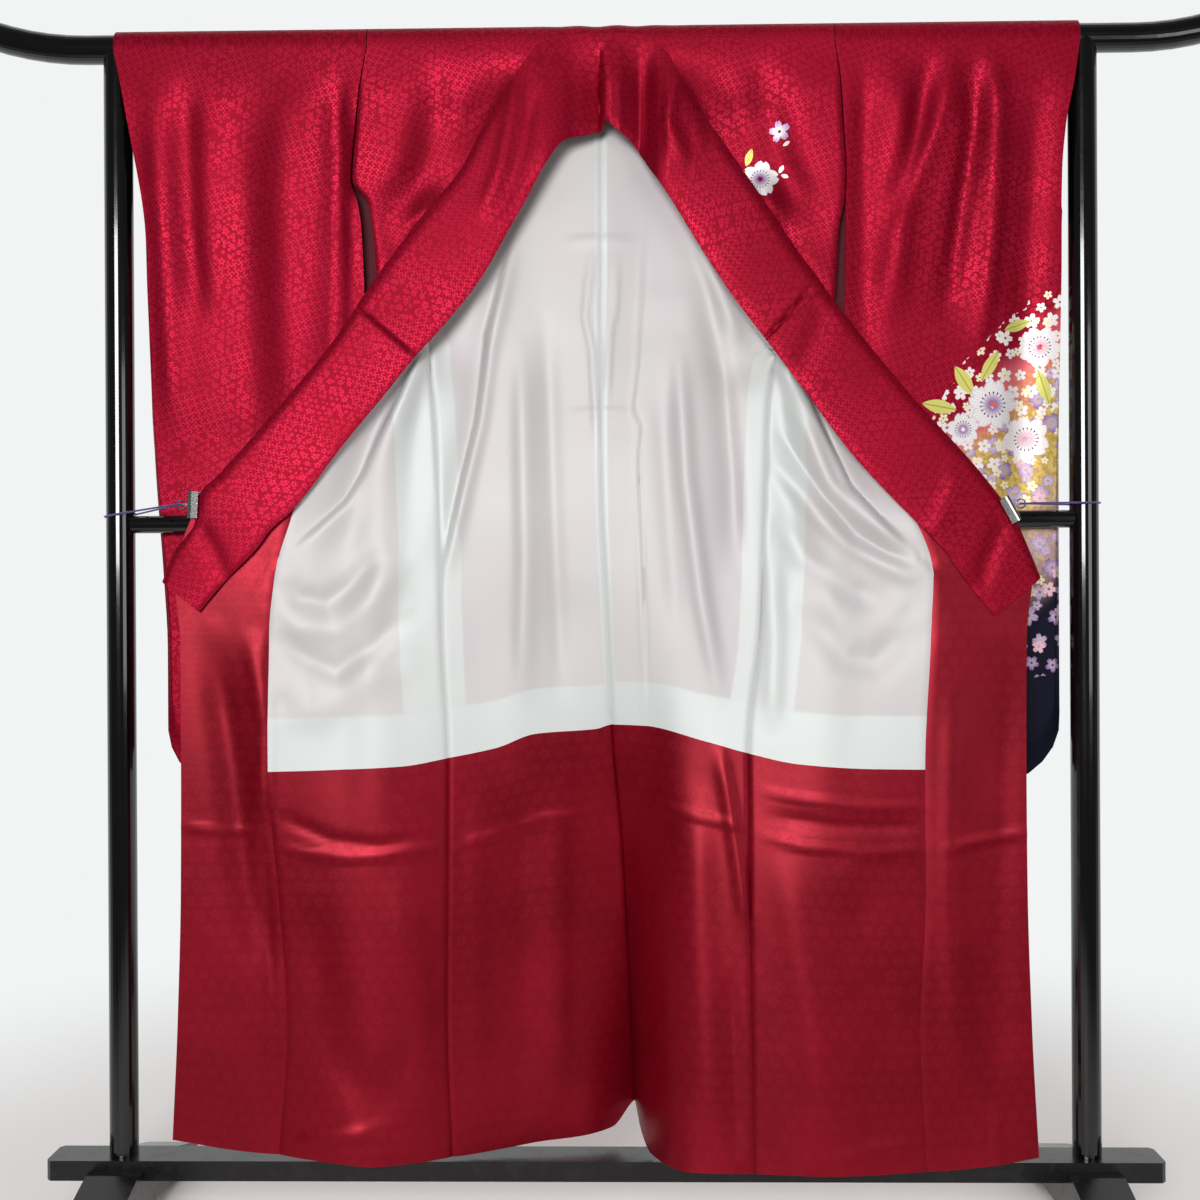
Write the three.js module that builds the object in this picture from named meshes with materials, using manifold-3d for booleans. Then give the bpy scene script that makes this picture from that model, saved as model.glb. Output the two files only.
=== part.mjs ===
// A long-sleeved formal kimono (furisode), hung open on a lacquered kimono stand.
// Millimetres, +Z up. The origin is on the floor under the middle of the stand; X runs along the rail,
// -Y is the side the garment opens towards. "left" is the -X side and "right" the +X side.
import * as THREE from "three";
import { mergeVertices } from "three/addons/utils/BufferGeometryUtils.js";
import Module from "manifold-3d";

const wasm = await Module();
wasm.setup();

// ---- stand sizes
const railRadius = 20;
const railHeight = 1663; // centre of the top rail
const railHalfLength = 930;
const railBendStart = 735; // the rail's ends sweep up beyond this distance from the middle
const railEndRise = 46;
const uprightSpacing = 679; // each upright's distance from the stand's middle
const standMiddle = -14; // where the middle of the uprights, board and feet stands under the rail
const uprightRadius = 20;
const crossbarRadius = 12.5;
const crossbarHeight = 990;
const boardLength = 1560;
const boardDepth = 58;
const boardThickness = 28;
const boardBottom = 70;
const footWidth = 74;
const footHalfLength = 230;
const footTop = 85;
const footArchHeight = 22;
const footPadInner = 165; // the pads under a foot run from here to its end
const meetingGap = 0.3;

// ---- cloth sizes
const outerThickness = 1.2;
const liningThickness = 1.0;
const layerGap = 0.3;
const liningStart = outerThickness + layerGap;
const garmentThickness = liningStart + liningThickness;
const clothOverRail = railRadius + 3.8; // radius of the cloth's outer face over the rail
const seamGap = 0.4; // half of the space left between two panels that are sewn together
const panelCells = 7; // cells across a body panel
const okumiCells = 2;
const collarCells = 3;
const overCollarLift = 0.5;
const overCollarThickness = 1.0;

// Heights of the sections, from the hem to just under the rail. A section at "hemLevel" or at
// "liningSeamLevel" follows the curve of the hem, or of the seam between upper and hem lining.
const hemLevel = 102;
const liningSeamLevel = 650;
const topLevel = 1655;
const levels = [
  hemLevel, 290, 480, liningSeamLevel, 830, 915, 1000, 1080, 1160, 1214,
  1240, 1262, 1300, 1335, 1400, 1440, 1470, 1540, 1600, topLevel,
];
const okumiTopLevel = 1440; // the pointed upper end of the okumi, the narrow front-edge panel
const railAngles = [0, 30, 60, 90, 120, 150, 180]; // degrees over the rail, from back to front

// Height of the hem along the opened garment.
const hemLine = [
  { x: -605, z: 140 }, { x: -511, z: 119 }, { x: -461, z: 112 }, { x: -385, z: 107 },
  { x: -320, z: 102 }, { x: -225, z: 102 }, { x: -157, z: 106 }, { x: -104, z: 111 },
  { x: -32, z: 115 }, { x: -2, z: 118 }, { x: 33, z: 148 }, { x: 43, z: 121 },
  { x: 56, z: 104 }, { x: 93, z: 103 }, { x: 254, z: 102 }, { x: 425, z: 106 },
  { x: 511, z: 114 }, { x: 575, z: 126 },
];
// Height of the seam between the white upper lining and the red hem lining.
const liningSeamLine = [
  { x: -605, z: 645 }, { x: -473, z: 645 }, { x: -291, z: 650 }, { x: -227, z: 660 },
  { x: -160, z: 673 }, { x: -106, z: 692 }, { x: -20, z: 698 }, { x: 2, z: 704 },
  { x: 50, z: 703 }, { x: 133, z: 683 }, { x: 191, z: 667 }, { x: 260, z: 653 },
  { x: 363, z: 647 }, { x: 575, z: 646 },
];
// How much of those two curves a section at each level takes up.
const curveShare = [
  { level: hemLevel, hem: 1, seam: 0 },
  { level: 290, hem: 0.4, seam: 0.2 },
  { level: 480, hem: 0.1, seam: 0.6 },
  { level: liningSeamLevel, hem: 0, seam: 1 },
  { level: 830, hem: 0, seam: 0.5 },
  { level: 1000, hem: 0, seam: 0 },
];

// Sections of the fronts, seen from above: a row is one level. Each pair of columns is a place on the
// panel, from the side edge to the okumi or collar seam. The places between are the crest of the
// panel, the two faces of the fold where the front is turned back on itself, and the turned part.
const frontRows = {
  left: [
    // level, side x y, panel x y, fold back x y, fold front x y, lap x y, seam x y
    [hemLevel, -225, -20, -265, -40, -310, -55, -355, -60, -410, -52, -463, -38],
    [290, -231, -20, -275, -38, -320, -50, -365, -51, -412, -45, -450, -42],
    [480, -229, -20, -275, -36, -325, -46, -370, -48, -420, -46, -461, -45],
    [liningSeamLevel, -228, -20, -275, -32, -325, -42, -375, -42, -425, -46, -473, -48],
    [830, -236, -20, -285, -28, -335, -39, -380, -36, -425, -44, -471, -48],
    [915, -237, -20, -282, -26, -325, -37, -370, -34, -420, -43, -463, -47],
    [1000, -238, -20, -278, -22, -320, -32, -360, -28, -400, -38, -439, -45],
    [1080, -242, -16, -275, -17, -310, -27, -345, -21, -380, -34, -412, -42],
    [1160, -247, -11, -266, -12, -288, -22, -312, -17, -340, -30, -370, -39],
    [1214, -252, -7, -256, -11, -266, -16, -280, -19, -308, -28, -342, -37],
    [1240, -254, -5, -255, -8, -257, -12, -263, -17, -292, -28, -329, -36],
    [1262, -271, -4.5, -259, -6.5, -248, -9, -248, -18, -282, -28, -319, -35],
    [1300, -302, -4.5, -256, -9, -213, -11, -213, -24, -260, -30, -303, -34],
    [1335, -326, -5, -255, -10, -190, -13, -190, -26, -248, -30, -285, -33],
    [1400, -331, -11, -250, -15, -177, -16, -177, -27, -220, -30, -258, -32],
    [1440, -337, -15, -255, -17, -175, -18, -175, -27, -204, -30, -232, -31],
    [1470, -358, -18, -270, -19, -172, -19, -172, -28, -190, -29.5, -209, -30],
    [1540, -352, -22, -270, -22, -180, -22, -158, -26, -164, -28, -171, -29],
    [1600, -345, -24, -300, -24.5, -245, -25, -190, -25.5, -155, -26, -132, -26.5],
    [topLevel, -335, -23.8, -290, -23.8, -235, -23.8, -180, -23.8, -130, -23.8, -90, -23.8],
  ],
  right: [
    [hemLevel, 193, -80, 240, -84, 285, -88, 330, -88, 378, -84, 425, -80],
    [290, 192, -68, 238, -74, 285, -80, 332, -82, 378, -78, 418, -76],
    [480, 191, -55, 240, -62, 288, -68, 336, -70, 384, -68, 428, -68],
    [liningSeamLevel, 191, -40, 240, -48, 290, -56, 338, -58, 384, -60, 429, -62],
    [830, 209, -28, 258, -36, 305, -46, 350, -46, 395, -52, 439, -58],
    [915, 213, -24, 260, -30, 305, -42, 352, -40, 400, -48, 443, -54],
    [1000, 217, -21, 256, -24, 298, -36, 338, -32, 378, -42, 416, -48],
    [1080, 220, -16, 252, -18, 285, -29, 318, -22, 350, -36, 379, -44],
    [1160, 224, -11, 242, -12, 264, -23, 288, -17, 312, -31, 338, -41],
    [1214, 234, -5, 235, -8, 238, -12, 244, -17, 276, -28, 308, -38],
    [1240, 262, -4.5, 240, -7, 221, -9, 221, -19, 260, -29, 292, -37],
    [1262, 283, -4.5, 242, -8, 206, -10, 206, -22, 250, -30, 282, -36],
    [1300, 317, -4.5, 242, -9, 182, -12, 182, -24, 232, -31, 266, -35],
    [1335, 320, -5, 235, -10, 164, -13, 164, -26, 216, -31, 250, -34],
    [1400, 324, -11, 230, -15, 152, -16, 152, -27, 192, -31, 227, -33],
    [1440, 331, -15, 235, -17, 150, -18, 150, -28, 178, -31, 206, -32],
    [1470, 332, -18, 240, -19, 148, -19, 148, -29, 168, -30.5, 189, -31],
    [1540, 328, -22, 245, -22, 152, -22, 129, -26, 135, -28, 142, -29],
    [1600, 324, -24, 270, -24.5, 215, -25, 165, -25.5, 128, -26, 105, -26.5],
    [topLevel, 316, -23.8, 265, -23.8, 210, -23.8, 155, -23.8, 110, -23.8, 70, -23.8],
  ],
};

// Sections of the backs, from the side edge to the centre-back seam. Below the crossbar the centre
// falls back into one deep fold, and the right panel comes sharply forward out of it.
const backRows = {
  left: [
    // level, side x y, flank x y, middle x y, crease x y, centre x y
    [hemLevel, -225, -20, -157, 0, -104, 15, -32, 34, 33, 85],
    [290, -231, -20, -168, 0, -110, 12, -42, 32, 27, 62],
    [480, -229, -20, -170, -4, -112, 6, -48, 22, 17, 36],
    [liningSeamLevel, -228, -20, -172, -10, -118, -5, -60, 2, 2, 8],
    [830, -236, -20, -180, -13, -124, -14, -64, -8, -4, -10],
    [915, -237, -20, -183, -16, -126, -18, -66, -15, -7, -16],
    [1000, -238, -20, -185, -18, -128, -19, -68, -17, -10, -18],
    [1080, -242, -15, -190, -13, -132, -15, -70, -12, -11, -15],
    [1160, -247, -10, -195, -6, -140, -9, -75, -5, -11, -10],
    [1214, -252, -3, -204, 2, -148, -5, -80, -1, -11, -6],
    [1240, -254, 0, -210, 4, -152, -4, -83, 1, -11, -4],
    [1262, -271, 1, -222, 5, -158, -3, -85, 2, -11, -3],
    [1300, -302, 2, -245, 6, -170, -1, -90, 4, -11, 0],
    [1335, -326, 3, -255, 8, -175, 2, -92, 6, -10, 2],
    [1400, -331, 8, -260, 11, -180, 7, -95, 9, -10, 5],
    [1440, -337, 11, -268, 13, -183, 10, -95, 11, -10, 7],
    [1470, -358, 14, -275, 14, -185, 12, -95, 13, -10, 9],
    [1540, -352, 18, -272, 18, -185, 16, -95, 17, -10, 14],
    [1600, -345, 21, -270, 21, -185, 20, -95, 20, -11, 19],
    [topLevel, -335, 23.8, -265, 23.8, -185, 23.8, -95, 23.8, -12, 23.8],
  ],
  right: [
    [hemLevel, 193, -80, 140, -80, 93, -70, 52, -2, 33, 85],
    [290, 192, -68, 136, -64, 92, -52, 46, 8, 27, 62],
    [480, 191, -55, 136, -48, 93, -38, 48, 2, 17, 36],
    [liningSeamLevel, 191, -40, 135, -34, 92, -25, 47, -6, 2, 8],
    [830, 209, -28, 156, -26, 102, -26, 43, -17, -4, -10],
    [915, 213, -24, 160, -22, 104, -24, 42, -19, -7, -16],
    [1000, 217, -21, 162, -19, 104, -22, 41, -19, -10, -18],
    [1080, 220, -15, 165, -14, 106, -17, 40, -14, -11, -15],
    [1160, 224, -10, 171, -8, 111, -11, 42, -8, -11, -10],
    [1214, 234, -1, 185, 3, 120, -6, 44, -3, -11, -6],
    [1240, 262, 1, 202, 5, 130, -4, 45, 0, -11, -4],
    [1262, 283, 1.5, 216, 5, 137, -2, 46, 2, -11, -3],
    [1300, 317, 2, 232, 6, 146, 0, 48, 4, -11, 0],
    [1335, 320, 3, 236, 8, 150, 3, 52, 7, -10, 2],
    [1400, 324, 8, 242, 11, 155, 7, 58, 10, -10, 5],
    [1440, 331, 11, 246, 13, 158, 9, 62, 12, -10, 7],
    [1470, 332, 14, 250, 14, 160, 11, 66, 14, -10, 9],
    [1540, 328, 18, 250, 18, 163, 15, 71, 18, -10, 14],
    [1600, 324, 21, 250, 21, 165, 19, 75, 21, -11, 19],
    [topLevel, 316, 23.8, 245, 23.8, 165, 23.8, 75, 23.8, -12, 23.8],
  ],
};

// Free edge of the okumi below the collar, and its collar seam above: level, x, y.
const okumiEdge = {
  left: [
    [hemLevel, -605, -60], [290, -597, -60], [480, -592, -59], [liningSeamLevel, -591, -58],
    [830, -592, -55], [915, -600, -52], [1000, -575, -51.2], [1080, -518, -48], [1160, -448, -42],
    [1214, -402, -39], [1240, -382, -38], [1262, -366, -37], [1300, -340, -35],
    [1335, -316, -34], [1400, -267, -33], [okumiTopLevel, -236, -32],
  ],
  right: [
    [hemLevel, 575, -82], [290, 568, -77], [480, 565, -70], [liningSeamLevel, 566, -64],
    [830, 568, -60], [915, 578, -52.5], [1000, 544, -51.2], [1080, 484, -48], [1160, 416, -43],
    [1214, 371, -40], [1240, 350, -39], [1262, 334, -38], [1300, 306, -36],
    [1335, 280, -35], [1400, 235, -34], [okumiTopLevel, 210, -33],
  ],
};

// The collar, from its left end over the back of the neck to its right end: the seam edge and the
// free edge of one station to a row.
const collarStations = [
  // seam x y z, free x y z
  [-617, -59, 908, -564, -63, 866], [-603, -58, 945, -527, -62, 910],
  [-576, -57, 986, -487, -61, 950], [-564, -56.5, 1030, -464, -60.5, 980],
  [-540, -55, 1055, -439, -59, 1002],
  [-449, -50, 1158, -364, -54, 1098], [-386, -46, 1234, -303, -50, 1172],
  [-348, -44, 1289, -266, -48, 1218], [-316, -42, 1335, -233, -46, 1254],
  [-253, -40, 1418, -178, -44, 1322], [-203, -38, 1478, -137, -42, 1392],
  [-178, -37, 1525, -110, -41, 1440], [-146, -34, 1583, -82, -40, 1490],
  [-92, -30, 1643, -61, -39, 1518], [-50, -28, 1653, -36, -40, 1530],
  [-10, -28, 1653, -7, -42, 1537], [30, -28, 1653, 18, -40, 1528],
  [72, -30, 1643, 40, -39, 1510], [103, -34, 1602, 64, -40, 1471],
  [137, -37, 1547, 89, -41, 1432], [172, -38, 1495, 120, -42, 1380],
  [220, -40, 1424, 153, -44, 1327], [265, -42, 1355, 188, -46, 1276],
  [298, -44, 1310, 218, -48, 1236], [354, -47, 1235, 268, -51, 1168],
  [422, -51, 1151, 335, -55, 1076], [512, -55, 1048, 417, -59, 987],
  [556, -57, 986, 455, -61, 948], [574, -58, 945, 488, -62, 902],
  [589, -59, 907, 524, -63, 854],
];
const overCollarFirst = 7; // stations where the over-collar's two cross seams lie
const overCollarLast = 23;

// Sleeves: level, inner edge x, outer edge x, then the depth of the front and back faces at the inner
// edge and at the outer edge. The sleeves hang behind the crossbar, the body in front of it.
const sleeveBottom = 615;
const sleeveMouthBottom = 1405;
const sleeveCornerRadius = 85;
const sleeveEdgeHalfDepth = 3.6;
const sleevePinchReach = 60; // how far in from a sewn edge the two faces stay close together
const sleeveRows = {
  left: [
    [sleeveBottom, -346, -634, 18, 18, 27, 27],
    [710, -345, -634, 15, 16, 30, 31],
    [815, -345, -634, 16, 16, 31, 32],
    [915, -345, -639, 16.5, 16.5, 30, 32],
    [1080, -345, -650, 15.5, 15.5, 28, 31],
    [1165, -344, -653, 8, 8, 24, 30],
    [1320, -344, -653, -6, -5, 17, 28],
    [1400, -346, -652, -12, -11, 14, 27],
    [1440, -351, -655, -15, -14, 13, 26.5],
    [1470, -361.5, -659, -18, -17, 14, 26],
    [1540, -353.5, -671, -22, -21, 18, 25],
    [1600, -346.5, -681, -24, -24, 21, 24.5],
    [topLevel, -336.2, -692, -23.8, -23.8, 23.8, 23.8],
  ],
  right: [
    [sleeveBottom, 332, 626, 18, 18, 27, 27],
    [710, 332, 636, 15, 16, 30, 31],
    [815, 332, 636, 16, 16, 31, 32],
    [915, 332, 636, 16.5, 16.5, 30, 32],
    [1080, 332, 636, 15.5, 15.5, 28, 31],
    [1165, 332, 636, 8, 8, 24, 30],
    [1320, 332, 635, -6, -5, 17, 28],
    [1400, 332, 633, -12, -11, 14, 27],
    [1440, 332.5, 632, -15, -14, 13, 26.5],
    [1470, 333.5, 632, -18, -17, 14, 26],
    [1540, 329.5, 637, -22, -21, 18, 25],
    [1600, 325.5, 648, -24, -24, 21, 24.5],
    [topLevel, 317, 656, -23.8, -23.8, 23.8, 23.8],
  ],
};
const sleeveColumns = 8;
const sleeveDrops = [0.06, 0.17, 0.29, 0.42, 0.56, 0.71, 0.86, 1]; // shares of the way down a face

// ---- clips that hold the collar's ends out, and their elastic loops
const clipWidth = 37;
const clipReach = 9; // how far the jaws reach over the collar's edge
const clipBack = 5;
const clipMouth = 8.4; // space between the jaws for the folded edge
const clipSheet = 1.6;
const tabWidth = 7;
const tabLength = 7;
const tabHoleRadius = 1.9;
const ringRadius = 6.2;
const ringWire = 1.1;
const ringOffset = 15.5; // from the clip's middle to the ring's
const elasticRadius = 1.3;
const clips = {
  left: { x: -575, y: -54.2, z: 1014, turn: 3, loopHeight: 1001, side: -1 },
  right: { x: 549, y: -54.2, z: 1001, turn: -29, loopHeight: 1012, side: 1 },
};

const finishes = {
  redSilk: { color: 0xb4122f, roughness: 0.5, metalness: 0 },
  whiteLining: { color: 0xd9dbd8, roughness: 0.7, metalness: 0 },
  redLining: { color: 0x8c1522, roughness: 0.4, metalness: 0 },
  lacquer: { color: 0x08080a, roughness: 0.2, metalness: 0 },
  steel: { color: 0xc8c8c8, roughness: 0.2, metalness: 1 },
  elastic: { color: 0x4b2a8c, roughness: 0.7, metalness: 0 },
};

// ---- helpers

const lerp = THREE.MathUtils.lerp;
const smooth = THREE.MathUtils.smoothstep;

// Value of a list of {key, value} rows at a place, straight between rows.
function along(rows, key, value, place) {
  if (place <= rows[0][key]) return rows[0][value];
  for (let i = 1; i < rows.length; i++) {
    if (place <= rows[i][key]) {
      const share = (place - rows[i - 1][key]) / (rows[i][key] - rows[i - 1][key]);
      return lerp(rows[i - 1][value], rows[i][value], share);
    }
  }
  return rows[rows.length - 1][value];
}

// A whole row of numbers at a level, straight between the table's rows. Column 0 is the level.
function rowAt(table, level) {
  return table[0].map((_, column) => along(table, 0, column, level));
}

// Real height of a point at x on the section of a level.
function heightAt(level, x) {
  const hemPart = along(curveShare, "level", "hem", level);
  const seamPart = along(curveShare, "level", "seam", level);
  const hemRise = along(hemLine, "x", "z", x) - hemLevel;
  const seamRise = along(liningSeamLine, "x", "z", x) - liningSeamLevel;
  return level + hemPart * hemRise + seamPart * seamRise;
}

// One section of a panel: a smooth line through its places, cut into equal steps.
function sectionPoints(row, cells) {
  const places = [];
  for (let i = 1; i < row.length; i += 2) {
    places.push(new THREE.Vector3(row[i], row[i + 1], 0));
  }
  const line = new THREE.CatmullRomCurve3(places, false, "centripetal");
  const points = line.getSpacedPoints(cells);
  points.forEach((point) => point.setZ(heightAt(row[0], point.x)));
  return points;
}

// Unit normal at each point of a grid, the mean of the cells that meet there.
function gridNormals(grid, ring) {
  const rows = grid.length;
  const columns = grid[0].length;
  const normals = grid.map((row) => row.map(() => new THREE.Vector3()));
  const across = new THREE.Vector3();
  const up = new THREE.Vector3();
  for (let i = 0; i < (ring ? rows : rows - 1); i++) {
    const next = (i + 1) % rows;
    for (let j = 0; j < columns - 1; j++) {
      across.subVectors(grid[next][j + 1], grid[i][j]);
      up.subVectors(grid[i][j + 1], grid[next][j]);
      const facing = across.clone().cross(up);
      facing.divideScalar(Math.max(Math.sqrt(facing.length()), 1e-6));
      for (const [a, b] of [[i, j], [i, j + 1], [next, j], [next, j + 1]]) {
        normals[a][b].add(facing);
      }
    }
  }
  normals.forEach((row) => row.forEach((normal) => normal.normalize()));
  return normals;
}

// A closed wall between two offsets of a grid of points. With ring, the last row joins the first.
function clothWall(grid, from, to, { ring = false, normals = gridNormals(grid, ring) } = {}) {
  const rows = grid.length;
  const columns = grid[0].length;
  const positions = [];
  for (const offset of [from, to]) {
    grid.forEach((row, i) =>
      row.forEach((point, j) => {
        const moved = point.clone().addScaledVector(normals[i][j], offset);
        positions.push(moved.x, moved.y, moved.z);
      }),
    );
  }
  const face = (layer, i, j) => layer * rows * columns + (i % rows) * columns + j;
  const triangles = [];
  const quad = (a, b, c, d) => triangles.push(a, b, c, a, c, d);
  const rowCells = ring ? rows : rows - 1;
  for (let i = 0; i < rowCells; i++) {
    for (let j = 0; j < columns - 1; j++) {
      quad(face(0, i, j), face(0, i, j + 1), face(0, i + 1, j + 1), face(0, i + 1, j));
      quad(face(1, i, j), face(1, i + 1, j), face(1, i + 1, j + 1), face(1, i, j + 1));
    }
    const last = columns - 1;
    quad(face(0, i, 0), face(0, i + 1, 0), face(1, i + 1, 0), face(1, i, 0));
    quad(face(0, i, last), face(1, i, last), face(1, i + 1, last), face(0, i + 1, last));
  }
  if (!ring) {
    const last = rows - 1;
    for (let j = 0; j < columns - 1; j++) {
      quad(face(0, 0, j), face(1, 0, j), face(1, 0, j + 1), face(0, 0, j + 1));
      quad(face(0, last, j), face(0, last, j + 1), face(1, last, j + 1), face(1, last, j));
    }
  }
  return facingOut(positions, triangles);
}

// Geometry from positions and triangles, turned round if its faces point inwards.
function facingOut(positions, triangles) {
  let volume = 0;
  const corner = (i) => new THREE.Vector3().fromArray(positions, 3 * i);
  for (let i = 0; i < triangles.length; i += 3) {
    const [a, b, c] = [0, 1, 2].map((k) => corner(triangles[i + k]));
    volume += a.dot(b.cross(c));
  }
  const ordered = volume > 0 ? triangles : triangles.toReversed();
  const geometry = new THREE.BufferGeometry();
  geometry.setAttribute("position", new THREE.Float32BufferAttribute(positions, 3));
  geometry.setIndex(ordered);
  return geometry;
}

function solidOf(geometry) {
  const bare = new THREE.BufferGeometry();
  bare.setAttribute("position", geometry.getAttribute("position"));
  if (geometry.index) bare.setIndex(geometry.index);
  const merged = mergeVertices(bare, 1e-3);
  return new wasm.Manifold(
    new wasm.Mesh({
      numProp: 3,
      vertProperties: merged.attributes.position.array,
      triVerts: new Uint32Array(merged.index.array),
    }),
  );
}

function geometryOf(solid) {
  const mesh = solid.getMesh();
  const geometry = new THREE.BufferGeometry();
  geometry.setAttribute("position", new THREE.Float32BufferAttribute(mesh.vertProperties, 3));
  geometry.setIndex(Array.from(mesh.triVerts));
  return geometry;
}

const cut = (body, tool) => geometryOf(solidOf(body).subtract(solidOf(tool)));
const join = (a, b) => geometryOf(solidOf(a).add(solidOf(b)));

const kimonoStand = new THREE.Group();

function addPart(name, geometry, finish) {
  geometry.computeVertexNormals();
  const part = new THREE.Mesh(geometry, new THREE.MeshStandardMaterial(finish));
  part.name = name;
  kimonoStand.add(part);
}

// ---- stand

// A round bar through rings at the given stations, each {x, z, tilt, radius}, closed at both ends.
function ringedBar(stations, sides) {
  const positions = [];
  const triangles = [];
  stations.forEach(({ x, z, tilt, radius }) => {
    for (let i = 0; i < sides; i++) {
      const angle = (2 * Math.PI * i) / sides;
      const rise = radius * Math.sin(angle);
      positions.push(x - rise * Math.sin(tilt), radius * Math.cos(angle), z + rise * Math.cos(tilt));
    }
  });
  for (let s = 0; s < stations.length - 1; s++) {
    for (let i = 0; i < sides; i++) {
      const a = s * sides + i;
      const b = s * sides + ((i + 1) % sides);
      triangles.push(a, a + sides, b + sides, a, b + sides, b);
    }
  }
  const lastRing = (stations.length - 1) * sides;
  for (let i = 1; i < sides - 1; i++) {
    triangles.push(0, i, i + 1);
    triangles.push(lastRing, lastRing + i + 1, lastRing + i);
  }
  return facingOut(positions, triangles);
}

// The rail: straight between the uprights, each end sweeping up and rounded off.
function makeRail() {
  const sweep = railHalfLength - railBendStart;
  const half = [];
  const bendSteps = 7;
  for (let i = 0; i <= bendSteps; i++) {
    const share = i / bendSteps;
    half.push({
      x: railBendStart + sweep * share,
      z: railHeight + railEndRise * share * share,
      tilt: Math.atan((2 * railEndRise * share) / sweep),
      radius: railRadius,
    });
  }
  const tip = half[half.length - 1];
  tip.x -= railRadius / 2;
  const roundSteps = 3;
  for (let i = 1; i <= roundSteps; i++) {
    const angle = (0.9 * Math.PI * i) / (2 * roundSteps);
    const reach = (railRadius / 2) * Math.sin(angle);
    half.push({
      x: tip.x + reach * Math.cos(tip.tilt),
      z: tip.z + reach * Math.sin(tip.tilt),
      tilt: tip.tilt,
      radius: railRadius * Math.cos(angle),
    });
  }
  const mirrored = half.map((s) => ({ ...s, x: -s.x, tilt: -s.tilt })).reverse();
  return ringedBar([...mirrored, ...half], 28);
}

function uprightBar(radius, bottom, top, x) {
  const bar = new THREE.CylinderGeometry(radius, radius, top - bottom, 28);
  bar.rotateX(Math.PI / 2);
  bar.translate(x, 0, (top + bottom) / 2);
  return bar;
}

function levelBar(radius, halfLength, height) {
  const bar = new THREE.CylinderGeometry(radius, radius, 2 * halfLength, 28);
  bar.rotateZ(Math.PI / 2);
  bar.translate(0, 0, height);
  return bar;
}

// A foot's side outline: pads at both ends, an arch between, a notch that takes the board, and a
// top that slopes down to rounded toes.
function makeFoot(x) {
  const toeHeight = 30;
  const toeRadius = 10;
  const flatTop = boardDepth / 2 + 21;
  const notch = boardDepth / 2 + meetingGap;
  const outline = new THREE.Shape();
  outline.moveTo(-footHalfLength, 0);
  outline.lineTo(-footPadInner, 0);
  outline.quadraticCurveTo(-footPadInner + 30, footArchHeight, -footPadInner + 75, footArchHeight);
  outline.lineTo(footPadInner - 75, footArchHeight);
  outline.quadraticCurveTo(footPadInner - 30, footArchHeight, footPadInner, 0);
  outline.lineTo(footHalfLength, 0);
  outline.lineTo(footHalfLength, toeHeight - toeRadius);
  outline.quadraticCurveTo(footHalfLength, toeHeight, footHalfLength - toeRadius, toeHeight + 3);
  outline.lineTo(flatTop, footTop);
  outline.lineTo(notch, footTop);
  outline.lineTo(notch, boardBottom - meetingGap);
  outline.lineTo(-notch, boardBottom - meetingGap);
  outline.lineTo(-notch, footTop);
  outline.lineTo(-flatTop, footTop);
  outline.lineTo(-footHalfLength + toeRadius, toeHeight + 3);
  outline.quadraticCurveTo(-footHalfLength, toeHeight, -footHalfLength, toeHeight - toeRadius);
  const foot = new THREE.ExtrudeGeometry(outline, {
    depth: footWidth,
    bevelEnabled: false,
    curveSegments: 5,
  });
  foot.rotateX(Math.PI / 2);
  foot.rotateZ(Math.PI / 2);
  foot.translate(x - footWidth / 2, 0, 0);
  return foot;
}

function makeBoard() {
  const corner = 6;
  const outline = new THREE.Shape();
  const halfLength = boardLength / 2;
  const halfDepth = boardDepth / 2;
  outline.moveTo(-halfLength + corner, -halfDepth);
  outline.lineTo(halfLength - corner, -halfDepth);
  outline.lineTo(halfLength, -halfDepth + corner);
  outline.lineTo(halfLength, halfDepth - corner);
  outline.lineTo(halfLength - corner, halfDepth);
  outline.lineTo(-halfLength + corner, halfDepth);
  outline.lineTo(-halfLength, halfDepth - corner);
  outline.lineTo(-halfLength, -halfDepth + corner);
  const board = new THREE.ExtrudeGeometry(outline, { depth: boardThickness, bevelEnabled: false });
  board.translate(standMiddle, 0, boardBottom);
  return board;
}

const boardTop = boardBottom + boardThickness;
const sides = { left: -1, right: 1 };

addPart("rail", makeRail(), finishes.lacquer);
addPart("base_board", makeBoard(), finishes.lacquer);
const crossbarCut = join(
  uprightBar(uprightRadius + meetingGap, boardTop, railHeight, standMiddle - uprightSpacing),
  uprightBar(uprightRadius + meetingGap, boardTop, railHeight, standMiddle + uprightSpacing),
);
const crossbar = levelBar(crossbarRadius, uprightSpacing - uprightRadius / 2, crossbarHeight);
crossbar.translate(standMiddle, 0, 0);
addPart("crossbar", cut(crossbar, crossbarCut), finishes.lacquer);
for (const [side, sign] of Object.entries(sides)) {
  const x = standMiddle + sign * uprightSpacing;
  const post = uprightBar(uprightRadius, boardTop + meetingGap, railHeight, x);
  const railCut = levelBar(railRadius + meetingGap, railHalfLength, railHeight);
  addPart("upright_" + side, cut(post, railCut), finishes.lacquer);
  addPart("foot_" + side, makeFoot(x), finishes.lacquer);
}

// ---- body panels: each is one length of cloth from the back hem over the shoulder to the front hem

const backEdge = (row, sign) => row.with(1, row[1] - sign * seamGap).with(9, row[9] + sign * seamGap);
const frontEdge = (row, sign) => row.with(1, row[1] + sign * seamGap);

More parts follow.
